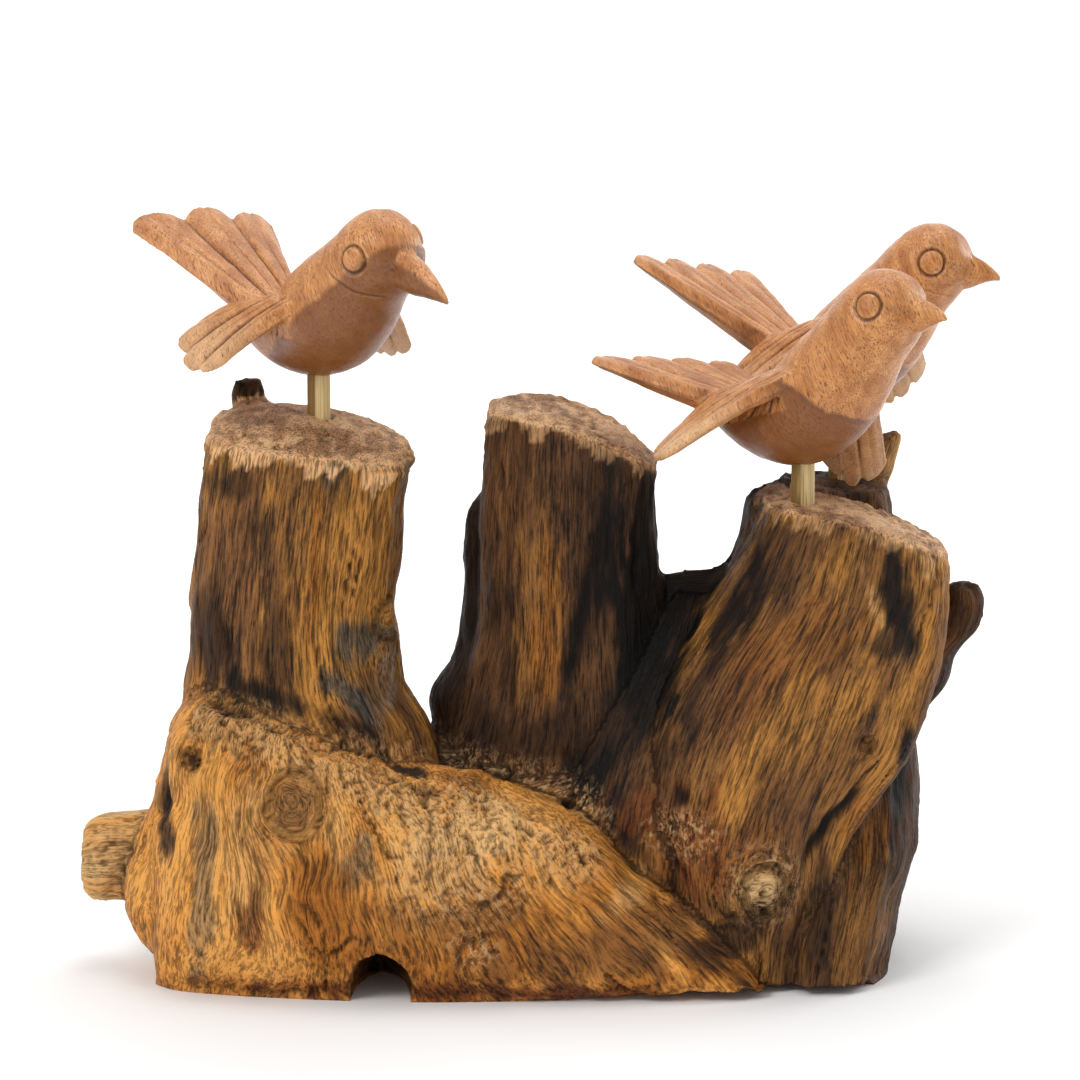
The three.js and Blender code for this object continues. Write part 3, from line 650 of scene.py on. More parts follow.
# Clefts beside those that the solid has: [path, half width].
CLEFTS = [
    ([[-112, -30, 76], [-113, -34, 60], [-118, -34, 40], [-120, -30, 12]], 2.4),
    ([[70, -38, 3], [74, -38, 24], [82, -34, 44], [98, -24, 66], [108, -14, 80]], 2.4),
    ([[-43, -20, 128], [-46, -24, 112], [-40, -26, 96], [-33, -30, 76]], 1.8),
    ([[44, -30, 62], [34, -40, 54], [25, -48, 44]], 2.6),
    ([[122, 0, 116], [122, -4, 104], [120, -6, 92]], 2.0),
    ([[22, -13, 158], [17, -14, 128], [10, -13, 100], [6, -12, 78]], 3.0),
    ([[31, -8, 150], [28, -8, 122], [20, -8, 96]], 2.2),
    ([[52, -6, 124], [46, -8, 108], [34, -8, 90], [26, -8, 78]], 2.4),
    ([[62, -20, 112], [56, -20, 96], [46, -24, 80]], 2.0),
    ([[-66, -29, 118], [-68, -30, 100]], 1.6),
]

# Crests that stand out: [path, half width, rise].
CRESTS = [
    ([[-67, -27, 160], [-69, -29, 130], [-68, -30, 104]], 3.2, 1.5),
    ([[-66, -30, 104], [-58, -31, 96], [-47, -29, 92], [-38, -26, 80]], 4.0, 1.6),
    ([[30, -6, 140], [22, -10, 110], [14, -10, 84]], 2.6, 2.2),
    ([[36, 0, 118], [30, -4, 98], [24, -6, 82]], 2.4, 2.0),
    ([[60, -4, 122], [50, -2, 108], [40, -2, 92]], 2.6, 1.8),
    ([[56, -14, 96], [48, -18, 84], [40, -24, 74]], 2.6, 1.8),
    ([[-12, -42, 62], [-10, -46, 50], [-14, -48, 36]], 4.0, 1.6),
    ([[-21, 14, 138], [-20, 12, 110], [-27, 12, 84]], 3.0, 1.4),
]

# Bands of colour that follow the surface: [path, half width, colour, strength].
BANDS = [
    ([[-110, -26, 99], [-92, -31, 93], [-74, -33, 87], [-54, -34, 79], [-36, -31, 69]], 4.4, BLACK, 0.8),
    ([[-62, -30, 93], [-48, -30, 85], [-37, -28, 75]], 4.0, SLATE, 0.7),
    ([[-100, -36, 85], [-80, -41, 79], [-60, -44, 71], [-34, -44, 60]], 6, TAN, 0.6),
    ([[66, -22, 109], [52, -20, 99], [45, -25, 87], [39, -25, 75], [31, -30, 66]], 4.0, DARK, 0.6),
    ([[2, -48, 52], [24, -50, 40], [46, -47, 22], [62, -44, 6]], 2.6, DARK, 0.8),
]

# Where the wood is burled: a band along the front root's top, as [x, height] places, and round spots on the
# faces towards the front, as [x, height, half width, half height].
BURL_BAND = [[-99, 84], [-82, 79], [-60, 70], [-32, 58], [8, 50]]
BURL_SPOTS = [[-24, 40, 26, 15], [66, 34, 12, 12], [-132, 34, 8, 14], [42, 48, 12, 8], [-20, 18, 8, 8]]

# The sawn trunks, and how far the crust round each end stands out.
FRAY = {"left_trunk": 1.0, "middle_trunk": 0.6, "right_trunk": 0.5}


def beside(limb, p):
    """Each place as seen from a limb: its grain place (across and deep as shares of the limb's slice times
    its mean radius, then the way along), how far it is from the limb's skin, how far it is below the end
    face, and rho, the superellipse's own radius, which is 1 on the skin."""
    q = p[:, [1, 2, 0]] if limb.get("along") == "x" else p
    table = np.array(limb["slices"], float)
    foot, end = table[0, 0], table[-1, 0]
    low, high, near, far = limb_sizes(limb, np.clip(q[:, 2], foot, end))
    wide, deep = (high - low) / 2, (far - near) / 2
    x, y = q[:, 0] - (low + high) / 2, q[:, 1] - (near + far) / 2
    across, inward = x / wide, y / deep
    rho = (np.abs(across) ** SQUARENESS + np.abs(inward) ** SQUARENESS) ** (1 / SQUARENESS)
    below = end + end_face(limb, x, y) - q[:, 2]
    beyond = np.maximum(-below, 0) + np.maximum(foot - q[:, 2], 0)
    skin = np.where(below < 2.5, np.maximum(rho - 1, 0), np.abs(rho - 1)) * np.minimum(wide, deep) + beyond
    radius = np.mean([wide.mean(), deep.mean()])
    return np.stack([across * radius, inward * radius, q[:, 2]], 1), skin, below, rho


def grain_of(name, limb, p):
    """The same, with the grain places bent as the fibres run: the front root's fan out downwards from a
    point above it, by their angle and distance from that point."""
    grain, skin, below, rho = beside(limb, p)
    if name in ("front_root", "left_buttress"):
        x, z = p[:, 0] + 80 + 4 * layers(p / 26, 2, 5), 150 - p[:, 2]
        grain = np.stack([np.arctan2(x, z) * 105, p[:, 1] * 0.6, np.hypot(x, z)], 1)
    return grain, skin, below, rho


def round_knots(grain, p, facing):
    """Fibres part round each knot as a stream does round a post, each moved aside by radius^2 / distance^2
    of its own offset, and lie in rings on it."""
    grain = grain.copy()
    for x, z, radius, _ in KNOTS:
        across, up = p[:, 0] - x, p[:, 2] - z
        away = np.hypot(across, up * 0.85) + 1e-6
        grain[:, 0] -= across * np.minimum(radius / away, 1) ** 2 * facing
        inside = (1 - ease(radius * 0.75, radius * 1.15, away)) * ease(0.1, 0.3, facing)
        ring = away * 1.3 + 2.6 * noise(p / 4.5, 8) + 1.5 * across / radius
        grain = mix(grain, np.stack([ring, 0 * up, up * 4], 1), inside)
    return grain


def furrows(k, bent, grain):
    """The relief along a limb's grain, and its cracks. Flutes 11 mm wide, furrows 4.4 mm and fibres 2.3 mm
    are the ridges of noise drawn out along the grain, and a crack opens where a long noise is near
    nought."""
    flute = ridges(scaled(bent, 11, 90), 1 + k)
    furrow = ridges(scaled(bent, 4.4, 34), 21 + k)
    fibre = ridges(scaled(bent, 2.3, 15), 31 + k)
    crack = np.exp(-((noise(scaled(bent, 12, 130), 51 + k) / 0.035) ** 2))
    crack *= ease(0.05, 0.3, noise(grain / 26, 3 + k))
    return 0.7 * (flute - 0.6), 0.5 * (furrow - 0.5) + 0.42 * (fibre - 0.4), crack


def frayed_rim(grain, p, below, rho, top):
    """A sawn end's rim: a crust on the wall that breaks off at uneven depths below the edge, and the
    crumbled edge itself, exp(-(depth / 1.6)^2). Returns the crust, its rough height, the edge, and how far
    that is eaten away."""
    depth = 3.5 + 5 * layers(scaled(grain, 7, 400), 3, 71) + 2 * layers(scaled(grain, 2, 400), 1, 72)
    crust = (1 - ease(-0.5, 0.5, below - np.maximum(depth, 0.6))) * (1 - top) * (1 - ease(6, 14, below))
    edge = np.exp(-((below / 1.6) ** 2)) * ease(0.86, 0.96, rho)
    rough = 0.9 * crust * (0.7 + 0.6 * layers(p / 2.4, 2, 73))
    eaten = edge * (0.3 + 1.2 * np.maximum(layers(p / 4, 2, 74), -0.25))
    return crust, rough, edge, eaten


def limbs_carved(p, facing, burl, patchy):
    """The limbs' relief, grain places and tint, and how sawn and how frayed each place is. A place takes
    these from the limbs that it lies beside, by weights of exp(-((distance - least distance) / 2.2)^2)."""
    views = [grain_of(name, limb, p) for name, limb in LIMBS.items()]
    away = np.stack([skin for _, skin, _, _ in views])
    nearest = away.argmin(0)
    weights = np.exp(-(((away - away.min(0)) / 2.2) ** 2))
    weights /= weights.sum(0)
    push, sawn, frayed = np.zeros((3, len(p)))
    grain, tint = np.zeros((2, len(p), 3))
    for k, (name, (fibres, _, below, rho)) in enumerate(zip(LIMBS, views)):
        fibres = round_knots(fibres, p, facing)
        grain[nearest == k] = fibres[nearest == k]
        mine = weights[k] > 0.02
        some, place, below, rho, weight = fibres[mine], p[mine], below[mine], rho[mine], weights[k][mine]
        sway = [layers(some / [14, 14, 40], 2, seed + k) for seed in (60, 80)]
        bent = some + 3 * np.stack([*sway, 0 * weight], 1)
        flutes, fine, crack = furrows(k, bent, some)
        lumps = layers(place / 30, 3, 11)
        # A sawn end is flat but for its rings and checks.
        top = 1 - ease(1.0, 2.6, below) if name in FRAY else 0 * weight
        relief = (1 - 0.85 * top) * (1.3 * lumps + flutes + fine * (1 - 0.6 * burl[mine]) - 2 * crack)
        rings = 0.16 * np.sin(rho * 34 + 2 * lumps)
        relief += top * (rings + 0.4 * layers(place / 2.6, 2, 75) - 0.8 * crack)
        if name in FRAY:
            crust, rough, edge, eaten = frayed_rim(some, place, below, rho, top)
            relief += rough * FRAY[name] - eaten
            frayed[mine] = np.maximum(frayed[mine], (crust + 0.6 * edge) * FRAY[name] * (weight > 0.3))
        sawn[mine] = np.maximum(sawn[mine], top * (weight > 0.3))
        push[mine] += weight * relief
        main, second, share = LIMB_COLOURS[name]
        share = share + 0.75 * layers(scaled(bent, 11, 70), 2, 90 + k) + 0.25 * patchy[mine]
        tint[mine] += weight[:, None] * mix(main, second, np.clip(share, 0, 1))
    return push, grain, tint, sawn, frayed


def burls(p, facing):
    """How burled each place is, 0 to 1: exp(-(distance / half width)^2) from the band and from each
    spot."""
    band, _ = near_path(p * [1, 0, 1], [[x, 0, z] for x, z in BURL_BAND])
    total = np.exp(-((band / (7 + 5 * ease(-70, -20, p[:, 0]))) ** 2))
    for x, z, wide, tall in BURL_SPOTS:
        away = ((p[:, 0] - x) / wide) ** 2 + ((p[:, 2] - z) / tall) ** 2
        total = np.maximum(total, np.exp(-1.2 * away))
    return np.clip(total * 1.25, 0, 1) * (0.15 + 0.85 * facing)


def outgrowths(p, grain, facing, burl):
    """What stands out besides the fibres: the burl's lumps and pits, thrown up in swirls; the ragged line
    where the right trunk's fibres are torn off; crests with a Gaussian profile; and knots, some of which
    sink in."""
    swirl = p * [1, 1, 0.7] + 5 * np.stack([layers(p / 15, 2, seed) for seed in (100, 101, 102)], 1)
    lumps = 1.3 * (ridges(swirl / 4.6, 103) - 0.5) + 0.7 * ridges(swirl / 2.4, 104) - 0.3
    pits = 2.2 * ease(0.5, 0.62, noise(p / 6, 106))
    push = burl * (lumps + 1.2 * layers(swirl / 13, 1, 105) - pits)
    torn = 115 + 4 * layers(scaled(grain, 6, 300), 3, 107) - 0.1 * (p[:, 0] - 80)
    width = ease(58, 70, p[:, 0]) * (1 - ease(112, 120, p[:, 0]))
    push += 0.8 * (ease(0, 2, p[:, 2] - torn) - 0.5) * width * facing
    for path, radius, rise in CRESTS:
        away, share = near_path(p, path)
        push += rise * np.exp(-((away / radius) ** 2)) * np.sin(math.pi * np.clip(share, 0.06, 0.94)) ** 0.5
    for x, z, radius, rise in KNOTS:
        away = np.hypot(p[:, 0] - x, p[:, 2] - z)
        push += rise * np.exp(-1.6 * (away / radius) ** 2) * facing
    return push


def clefts_in(p):
    """How deep each place is in a cleft, 0 to 1: exp(-(distance from its wandering path / 0.8 of its half
    width)^2), and less towards the path's ends."""
    wander = 1.5 * np.stack([noise(p / 9, seed) for seed in (110, 111, 112)], 1)
    total = np.zeros(len(p))
    for path, radius in CREVICES + CLEFTS:
        away, share = near_path(p + wander, path)
        profile = np.exp(-((away / (radius * 0.8)) ** 2))
        total = np.maximum(total, profile * (0.4 + 0.6 * np.sin(math.pi * share)))
    return total


def painted(tint, p, grain, facing):
    """The tint under its patches and bands. A patch is a leaning ellipse and a band follows a path, and the
    edge of each wanders with noise drawn out along the fibres."""
    wander = 0.6 * layers(grain / [4, 4, 22], 3, 120) + 0.35 * layers(grain / [2.4, 2.4, 10], 2, 121)
    for x, z, wide, tall, lean, colour, strength in PATCHES:
        c, s = math.cos(math.radians(lean)), math.sin(math.radians(lean))
        across, up = p[:, 0] - x, p[:, 2] - z
        away = np.hypot((across * c - up * s) / wide, (across * s + up * c) / tall)
        tint = mix(tint, colour, strength * facing * (1 - ease(0.5, 1.25, away + wander)))
    wander = 0.5 * layers(grain / [4, 4, 22], 3, 130)
    for path, radius, colour, strength in BANDS:
        away, _ = near_path(p, path)
        tint = mix(tint, colour, strength * (1 - ease(0.55, 1.25, away / radius + wander)))
    return tint


def root_block(shift):
    """The root block: the limbs' skin, cut flat below and hollowed, every vertex then moved along its
    normal by the sum of all reliefs, and its wood's tint, grain and burl kept for the finish, with the
    painted shade of its hollows and clefts and the painted highlight of its crests."""
    mesh = one_skin("root_stump", [limb_surface(limb) for limb in LIMBS.values()], ROOT_GRAIN)
    ground = box_surface((-200, -200, -50), (200, 200, 0))
    mesh = cut_away(mesh, [ground, ellipsoid_surface(**HOLLOW), ellipsoid_surface(**LIFT)])
    edges = edges_of(mesh)
    p = places_of(mesh)
    loose = ease(0.2, 1.5, p[:, 2])
    p = mix(p, averaged(p, edges, 7), loose)
    put_places(mesh, p)
    n = normals_of(mesh)
    facing = ease(0.1, 0.5, -n[:, 1])

    burl = burls(p, facing)
    patchy = layers(p / 24, 3, 40)
    push, grain, tint, sawn, frayed = limbs_carved(p, facing, burl, patchy)
    clefts = clefts_in(p)
    push += outgrowths(p, grain, facing, burl) - 2.4 * clefts - 0.5
    moved = p + n * (push * loose)[:, None]
    moved = mix(moved, averaged(moved, edges, 6), clefts * loose)
    moved[:, 2] = np.where(p[:, 2] < 0.3, p[:, 2], np.maximum(moved[:, 2], 0.25))
    low, high = [np.array(corner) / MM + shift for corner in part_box("root_stump")]
    moved = np.clip(moved, low, high)
    put_places(mesh, moved - shift)

    # Painted shade: small dips, broad hollows and clefts get a share by which the finish darkens them, for
    # the shade that falls in them.
    fine_hollow, hollow = sunken(moved, edges, 4, normals_of(mesh)), sunken(p, edges, 24, n)
    hollow_shade = 0.7 * ease(0.0, 0.5, fine_hollow) * (1 - 0.6 * frayed.clip(0, 1))
    hollow_shade = np.clip(hollow_shade + 0.7 * ease(0.1, 1.6, hollow) + 0.8 * clefts, 0, 1)
    # Painted shade: the tint in the clefts goes nearly black, for the shade deep in them.
    tint = mix(painted(tint, p, grain, facing), BLACK, 0.85 * clefts)
    # The sides that face away are plainer and browner.
    tint = mix(tint, mix(DARK, BROWN, np.clip(0.55 + patchy, 0, 1)), 0.75 * ease(0.2, 0.7, n[:, 1]))
    blotch = 0.55 + 0.8 * patchy + 0.9 * layers(p / [3, 8, 3], 3, 140)
    face = mix(SAWN_DARK, SAWN_PALE, np.clip(blotch, 0, 1))
    tint = mix(tint, face, 0.92 * sawn * ease(0, 0.3, n[:, 2]))
    tint = mix(tint, CRUST, 0.85 * frayed.clip(0, 1))
    put_attribute(mesh, "tint", np.column_stack([tint**2.2, np.ones(len(p))]))
    # Painted highlight: the share by which the finish lights up the crests that stand out.
    put_attribute(mesh, "ridge_highlight", ease(0.05, 0.4, -fine_hollow))
    for name, values in (("grain", grain), ("hollow_shade", hollow_shade), ("burl", burl)):
        put_attribute(mesh, name, values)
    smooth_shaded(mesh)
    return shown("root_block", mesh)


# The birds

# Each bird's own marks: the growth line on the breast, at z = height + slope * x in the bird's own frame,
# and how sharply it shows; the seam at the neck, cut this deep at z = height + slope * x in the head's
# frame; and the places of small dark knots.
MARKS = {
    "left": {"line": (12.7, 0.69), "sharp": 0.25, "seam": (0.5, -4.9, -0.34), "spots": [[4, -13, 11]]},
    "front": {"line": (29.8, -0.6), "sharp": 1.0, "seam": (0, 0, 0), "spots": []},
    "back": {"line": (29.8, -0.6), "sharp": 0.6, "seam": (0.3, -5.6, -0.2), "spots": []},
}


def bird_frame(bird):
    """The pose that carries a bird's own frame, with the peg's end at its origin, to its place on the
    block."""
    place = Matrix.Translation([bird["peg"][0], bird["peg"][1], bird["belly"]])
    return place @ Matrix.Rotation(math.radians(bird["yaw"]), 4, "Z")


def head_frame(bird):
    """The head's pose in the bird's own frame: its turn, nod and tilt at the middle of the head."""
    ways = (("turn", "Z"), ("nod", "Y"), ("tilt", "X"))
    turn, nod, tilt = [Matrix.Rotation(math.radians(bird["head"][way]), 4, axis) for way, axis in ways]
    x, z = drawn_out(bird, *HEAD)
    return Matrix.Translation([x, 0, z]) @ turn @ nod @ tilt


def drawn_out(bird, x, z):
    """A place forward and up, drawn out by the bird's reach ahead of its peg and its stature above its
    belly."""
    reach = bird["reach"] if x > 0 else 1
    stature = bird["stature"] if z > BELLY_MIDDLE else 1
    return x * reach, BELLY_MIDDLE + (z - BELLY_MIDDLE) * stature


def carried(matrix, points):
    m = np.array(matrix)
    return points @ m[:3, :3].T + m[:3, 3]


def plates_of(bird):
    """The tail and the two wings as feather_plate takes them: root line, tip line, feathers, thickness at
    the root, taper, scallop, carved side and camber."""
    shoulder = [[drawn_out(bird, x, z)[0], y, drawn_out(bird, x, z)[1]] for x, y, z in WING_ROOT]
    plates = [(TAIL_ROOT, bird["tail"], bird["tail_feathers"], *TAIL, -1, 0)]
    for tips, side in ((bird["right_wing"], -1), (bird["left_wing"], 1)):
        root, ends = [[[x, side * y, z] for x, y, z in line] for line in (shoulder, tips)]
        plates.append((root, ends, WING_FEATHERS, *WING, side, side * 2))
    return plates


def bird_skin(name, bird):
    """A bird's body, beak, tail and wings joined into one skin, in its own frame."""
    spine = []
    for x, z, thick, wide in SPINE:
        bulk = bird["bulk"] if x > 0 else 1
        spine.append([*drawn_out(bird, x, z), thick * bulk, wide * bulk])
    beak, faces = loft([[share * bird["beak"], z, t, w] for share, z, t, w in BEAK], 48, 60)
    surfaces = [loft(spine), (carried(head_frame(bird), beak), faces)]
    surfaces += [feather_plate(*plate) for plate in plates_of(bird)]
    return one_skin(name, surfaces, BIRD_GRAIN)


def point_along(line, share):
    """The point at a share of a line's steps, straight between its points."""
    steps = np.arange(len(line))
    return np.array([np.interp(share * steps[-1], steps, values) for values in line.T])


def feather_cuts(p, plates):
    """How deep the knife went at each place, 0 to 1, and how far the place is on a feather plate. Between
    two feathers the cut follows the straight line from root to tip, and a shallower one runs along each
    feather's middle: exp(-(off / half width)^2), with off measured in the plate's own plane, shallower
    towards the tip."""
    cuts, plate = np.zeros((2, len(p)))
    for root, tips, feathers, thick, *_ in plates:
        root, tips = np.array(root, float), np.array(tips, float)
        for k in range(1, 2 * feathers):
            start, end = [point_along(line, k / (2 * feathers)) for line in (root, tips)]
            line = end - start
            face = np.cross(line, tips[-1] - tips[0])
            face /= np.linalg.norm(face)
            sideways = np.cross(face, line) / np.linalg.norm(line)
            share = (p - start) @ line / (line @ line)
            off, lift = (p - start) @ sideways, np.abs((p - start) @ face)
            there = ease(0.1, 0.28, share) * (share < 1.15) * (lift < thick * 0.75)
            depth = (0.4 if k % 2 else 1.0) * (1 - 0.8 * ease(0.55, 0.95, share))
            cuts = np.maximum(cuts, depth * np.exp(-((off / 0.55) ** 2)) * there)
            plate = np.maximum(plate, np.exp(-((off / 4) ** 4)) * there * ease(0.22, 0.4, share))
    return cuts, plate


def eyes(head):
    """Ring, crown and facet of both eyes at places in the head's frame, each 0 to 1. With off the distance
    from the eye's axis, the ring is exp(-((off - its radius) / 0.5)^2) and the crown inside it exp(-(off /
    its radius)^4), and the facet is a hollow 2.4 mm in half width from the eye to the beak's root."""
    ring, crown, facet = np.zeros((3, len(head)))
    for side in (-1, 1):
        toward = np.array(EYE_TOWARD) * [1, side, 1] / np.linalg.norm(EYE_TOWARD)
        out = head @ toward
        off = np.linalg.norm(head - out[:, None] * toward, axis=1)
        there = ease(4, 8, out)
        ring += np.exp(-(((off - EYE_RING) / 0.5) ** 2)) * there
        crown += np.exp(-((off / EYE_CROWN) ** 4)) * there
        away, _ = near_path(head, [toward * 11.5 + [4.5, 0, 0], [13, side * 2.4, 1]])
        facet = np.maximum(facet, np.exp(-((away / 2.4) ** 2)))
    return ring, crown, facet


def neck_seam(head, p, seam):
    """The seam between head and breast: a groove exp(-(height above the seam / 0.45)^2) that wanders a
    little and fades out in front of the throat and away from the head."""
    depth, height, slope = seam
    above = head[:, 2] - height - slope * head[:, 0] + 0.5 * noise(p / 6, 9)
    reach = (1 - ease(7, 10, head[:, 0])) * (1 - ease(15, 19, np.linalg.norm(head, axis=1)))
    return depth * np.exp(-((above / 0.45) ** 2)) * reach


def carved_bird(name, bird, marks, node, shift):
    """A bird: its skin, moved along its normals by the knife's light flats, the cuts between and along the
    feathers, the eyes and the neck seam, and kept within its node's box."""
    mesh = bird_skin(name, bird)
    edges = edges_of(mesh)
    p = averaged(places_of(mesh), edges, 2)
    put_places(mesh, p)
    n = normals_of(mesh)
    head = carried(head_frame(bird).inverted(), p)
    cuts, plate = feather_cuts(p, plates_of(bird))
    ring, crown, facet = eyes(head)
    seam = neck_seam(head, p, marks["seam"]) * (1 - plate)
    push = 0.22 * layers(p / 9, 2, 7) + 0.05 * noise(p / 2.2, 8)
    push += 0.35 * crown - ring - 0.8 * facet - 0.7 * cuts - seam
    moved = p + n * push[:, None]
    low, high = [np.array(corner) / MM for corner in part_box(node)]
    put_places(mesh, np.clip(carried(bird_frame(bird), moved) - shift, low, high))

    # Painted shade: the knife's cuts, the eye rings, the facet before the eye and the neck seam are
    # darkened for the shade in them, and the dark knot spots, the wood's own, are added in. With the
    # hollows below, the finish darkens it all.
    dark = np.max([0.5 * cuts, 0.65 * ring, 0.25 * facet, seam], 0)
    for spot in marks["spots"]:
        dark = np.maximum(dark, np.exp(-((np.linalg.norm(p - spot, axis=1) / 1.6) ** 2)))
    hollow, deep_hollow = sunken(moved, edges, 6, n), sunken(p, edges, 40, n)
    hollow_shade = np.clip(ease(0.03, 0.3, hollow) + 0.5 * ease(0.1, 1.0, deep_hollow) + dark, 0, 1)
    height, slope = marks["line"]
    below = 0.6 * (height + slope * p[:, 0] - p[:, 2]) - 0.5 * layers(p / 14, 2, 31)
    # The faces turned down, off the feather plates, where the finish lays the belly's painted shade and the
    # growth line.
    under = (1 - plate) * (1 - ease(0.2, 0.5, n[:, 2]))
    tilt = np.array(Matrix.Rotation(math.radians(28), 3, "Y"))
    put_attribute(mesh, "grain", p @ tilt.T)
    put_attribute(mesh, "hollow_shade", hollow_shade)
    # Painted highlight: the share by which the finish makes the crests paler.
    put_attribute(mesh, "ridge_highlight", ease(0.03, 0.25, -hollow))
    put_attribute(mesh, "tip", plate * ease(16, 34, np.abs(p[:, 1])))
    put_attribute(mesh, "below_line", below)
    put_attribute(mesh, "under", under)
    put_attribute(mesh, "sharp", under * marks["sharp"])
    smooth_shaded(mesh)
    return shown(name, mesh)


def peg(name, bird, shift, sides=96, rings=90):
    """A bamboo peg from inside the root to inside the bird: a round stick whose radius ripples round it
    with five flat splits and 17 and 41 fibres, sums of sines of the turn."""
    low, high = bird["peg"][2] - PEG_DEPTH, bird["belly"] + PEG_DEPTH
    turn = np.linspace(0, 2 * math.pi, sides, endpoint=False)[None, :]
    z = np.linspace(low, high, rings)[:, None]
    ripple = 0.1 * np.sin(17 * turn + 1.3) + 0.07 * np.sin(41 * turn + 0.3 * np.sin(z / 5))
    r = PEG_RADIUS - 0.3 + ripple - 0.12 * np.cos(5 * turn + 2)
    x, y, _ = bird["peg"]
    points, faces = closed_grid(np.stack([x + r * np.cos(turn), y + r * np.sin(turn), z + 0 * turn], -1))
    mesh = mesh_of(name, points - shift, faces)
    around = np.append(np.tile(turn[0], rings), [0, 0])
    grain = [PEG_RADIUS * np.cos(around), PEG_RADIUS * np.sin(around), points[:, 2]]
    put_attribute(mesh, "grain", np.column_stack(grain))
    smooth_shaded(mesh)
    return shown(name, mesh)


# Finishes

class Finish:
    """A material's nodes, written as short steps. Every number that is the same all over stays on its
    socket."""

    def __init__(self, name):
        self.material = bpy.data.materials.new(name)
        self.material.use_nodes = True
        self.tree = self.material.node_tree
        self.tree.nodes.clear()
        self.shader = self.add("ShaderNodeBsdfPrincipled")
        end = self.add("ShaderNodeOutputMaterial")
        self.join(self.shader.outputs["BSDF"], end.inputs["Surface"])

    def add(self, kind, **settings):
        node = self.tree.nodes.new(kind)
        for key, value in settings.items():
            setattr(node, key, value)
        return node

    def join(self, output, socket):
        self.tree.links.new(output, socket)

    def feed(self, socket, value):
        if isinstance(value, bpy.types.NodeSocket):
            self.join(value, socket)
        else:
            socket.default_value = value

    def attribute(self, name, output="Fac"):
        return self.add("ShaderNodeAttribute", attribute_name=name).outputs[output]

    def stretched(self, vector, across, along):
        node = self.add("ShaderNodeMapping")
        self.join(vector, node.inputs["Vector"])
        node.inputs["Scale"].default_value = (1 / across, 1 / across, 1 / along)
        return node.outputs["Vector"]

    def noise(self, vector, detail=4, rough=0.55, warp=0.0):
        node = self.add("ShaderNodeTexNoise")
        self.join(vector, node.inputs["Vector"])
        for key, value in (("Scale", 1.0), ("Detail", detail), ("Roughness", rough), ("Distortion", warp)):
            node.inputs[key].default_value = value
        return node.outputs["Fac"]

    def span(self, value, low, high, to_low=0.0, to_high=1.0):
        node = self.add("ShaderNodeMapRange")
        node.clamp = True
        self.join(value, node.inputs["Value"])
        for key, number in (("From Min", low), ("From Max", high), ("To Min", to_low), ("To Max", to_high)):
            node.inputs[key].default_value = number
        return node.outputs["Result"]

    def sum(self, a, b, how="ADD"):
        node = self.add("ShaderNodeMath", operation=how)
        self.feed(node.inputs[0], a)
        self.feed(node.inputs[1], b)
        return node.outputs["Value"]

    def times(self, a, b):
        return self.sum(a, b, "MULTIPLY")

    def lit(self, colour, share):
        """The colour times a share, which goes less far down on a pale colour, and only as far up as leaves
        its red at 0.85."""
        parts = self.add("ShaderNodeSeparateColor")
        self.join(colour, parts.inputs["Color"])
        red = parts.outputs["Red"]
        share = self.sum(share, self.span(red, 0.08, 0.6, 0.14, 0.58), "MAXIMUM")
        share = self.sum(share, self.sum(0.85, red, "DIVIDE"), "MINIMUM")
        node = self.add("ShaderNodeVectorMath", operation="SCALE")
        self.join(colour, node.inputs[0])
        self.join(share, node.inputs["Scale"])
        return node.outputs["Vector"]

    def blend(self, share, a, b):
        node = self.add("ShaderNodeMix", data_type="RGBA")
        self.feed(node.inputs["Factor"], share)
        self.feed(node.inputs["A"], a)
        self.feed(node.inputs["B"], b)
        return node.outputs["Result"]

    def bump(self, height, strength, distance):
        node = self.add("ShaderNodeBump")
        node.inputs["Strength"].default_value = strength
        node.inputs["Distance"].default_value = distance
        self.join(height, node.inputs["Height"])
        return node.outputs["Normal"]

    def finish(self, colour, roughness, normal=None, specular=0.3):
        self.feed(self.shader.inputs["Base Color"], colour)
        self.feed(self.shader.inputs["Roughness"], roughness)
        self.shader.inputs["Specular IOR Level"].default_value = specular
        if normal is not None:
            self.join(normal, self.shader.inputs["Normal"])
        return self.material


def shade(r, g, b):
    """A colour as seen in daylight, as the light it gives back."""
    return (r**2.2, g**2.2, b**2.2, 1)


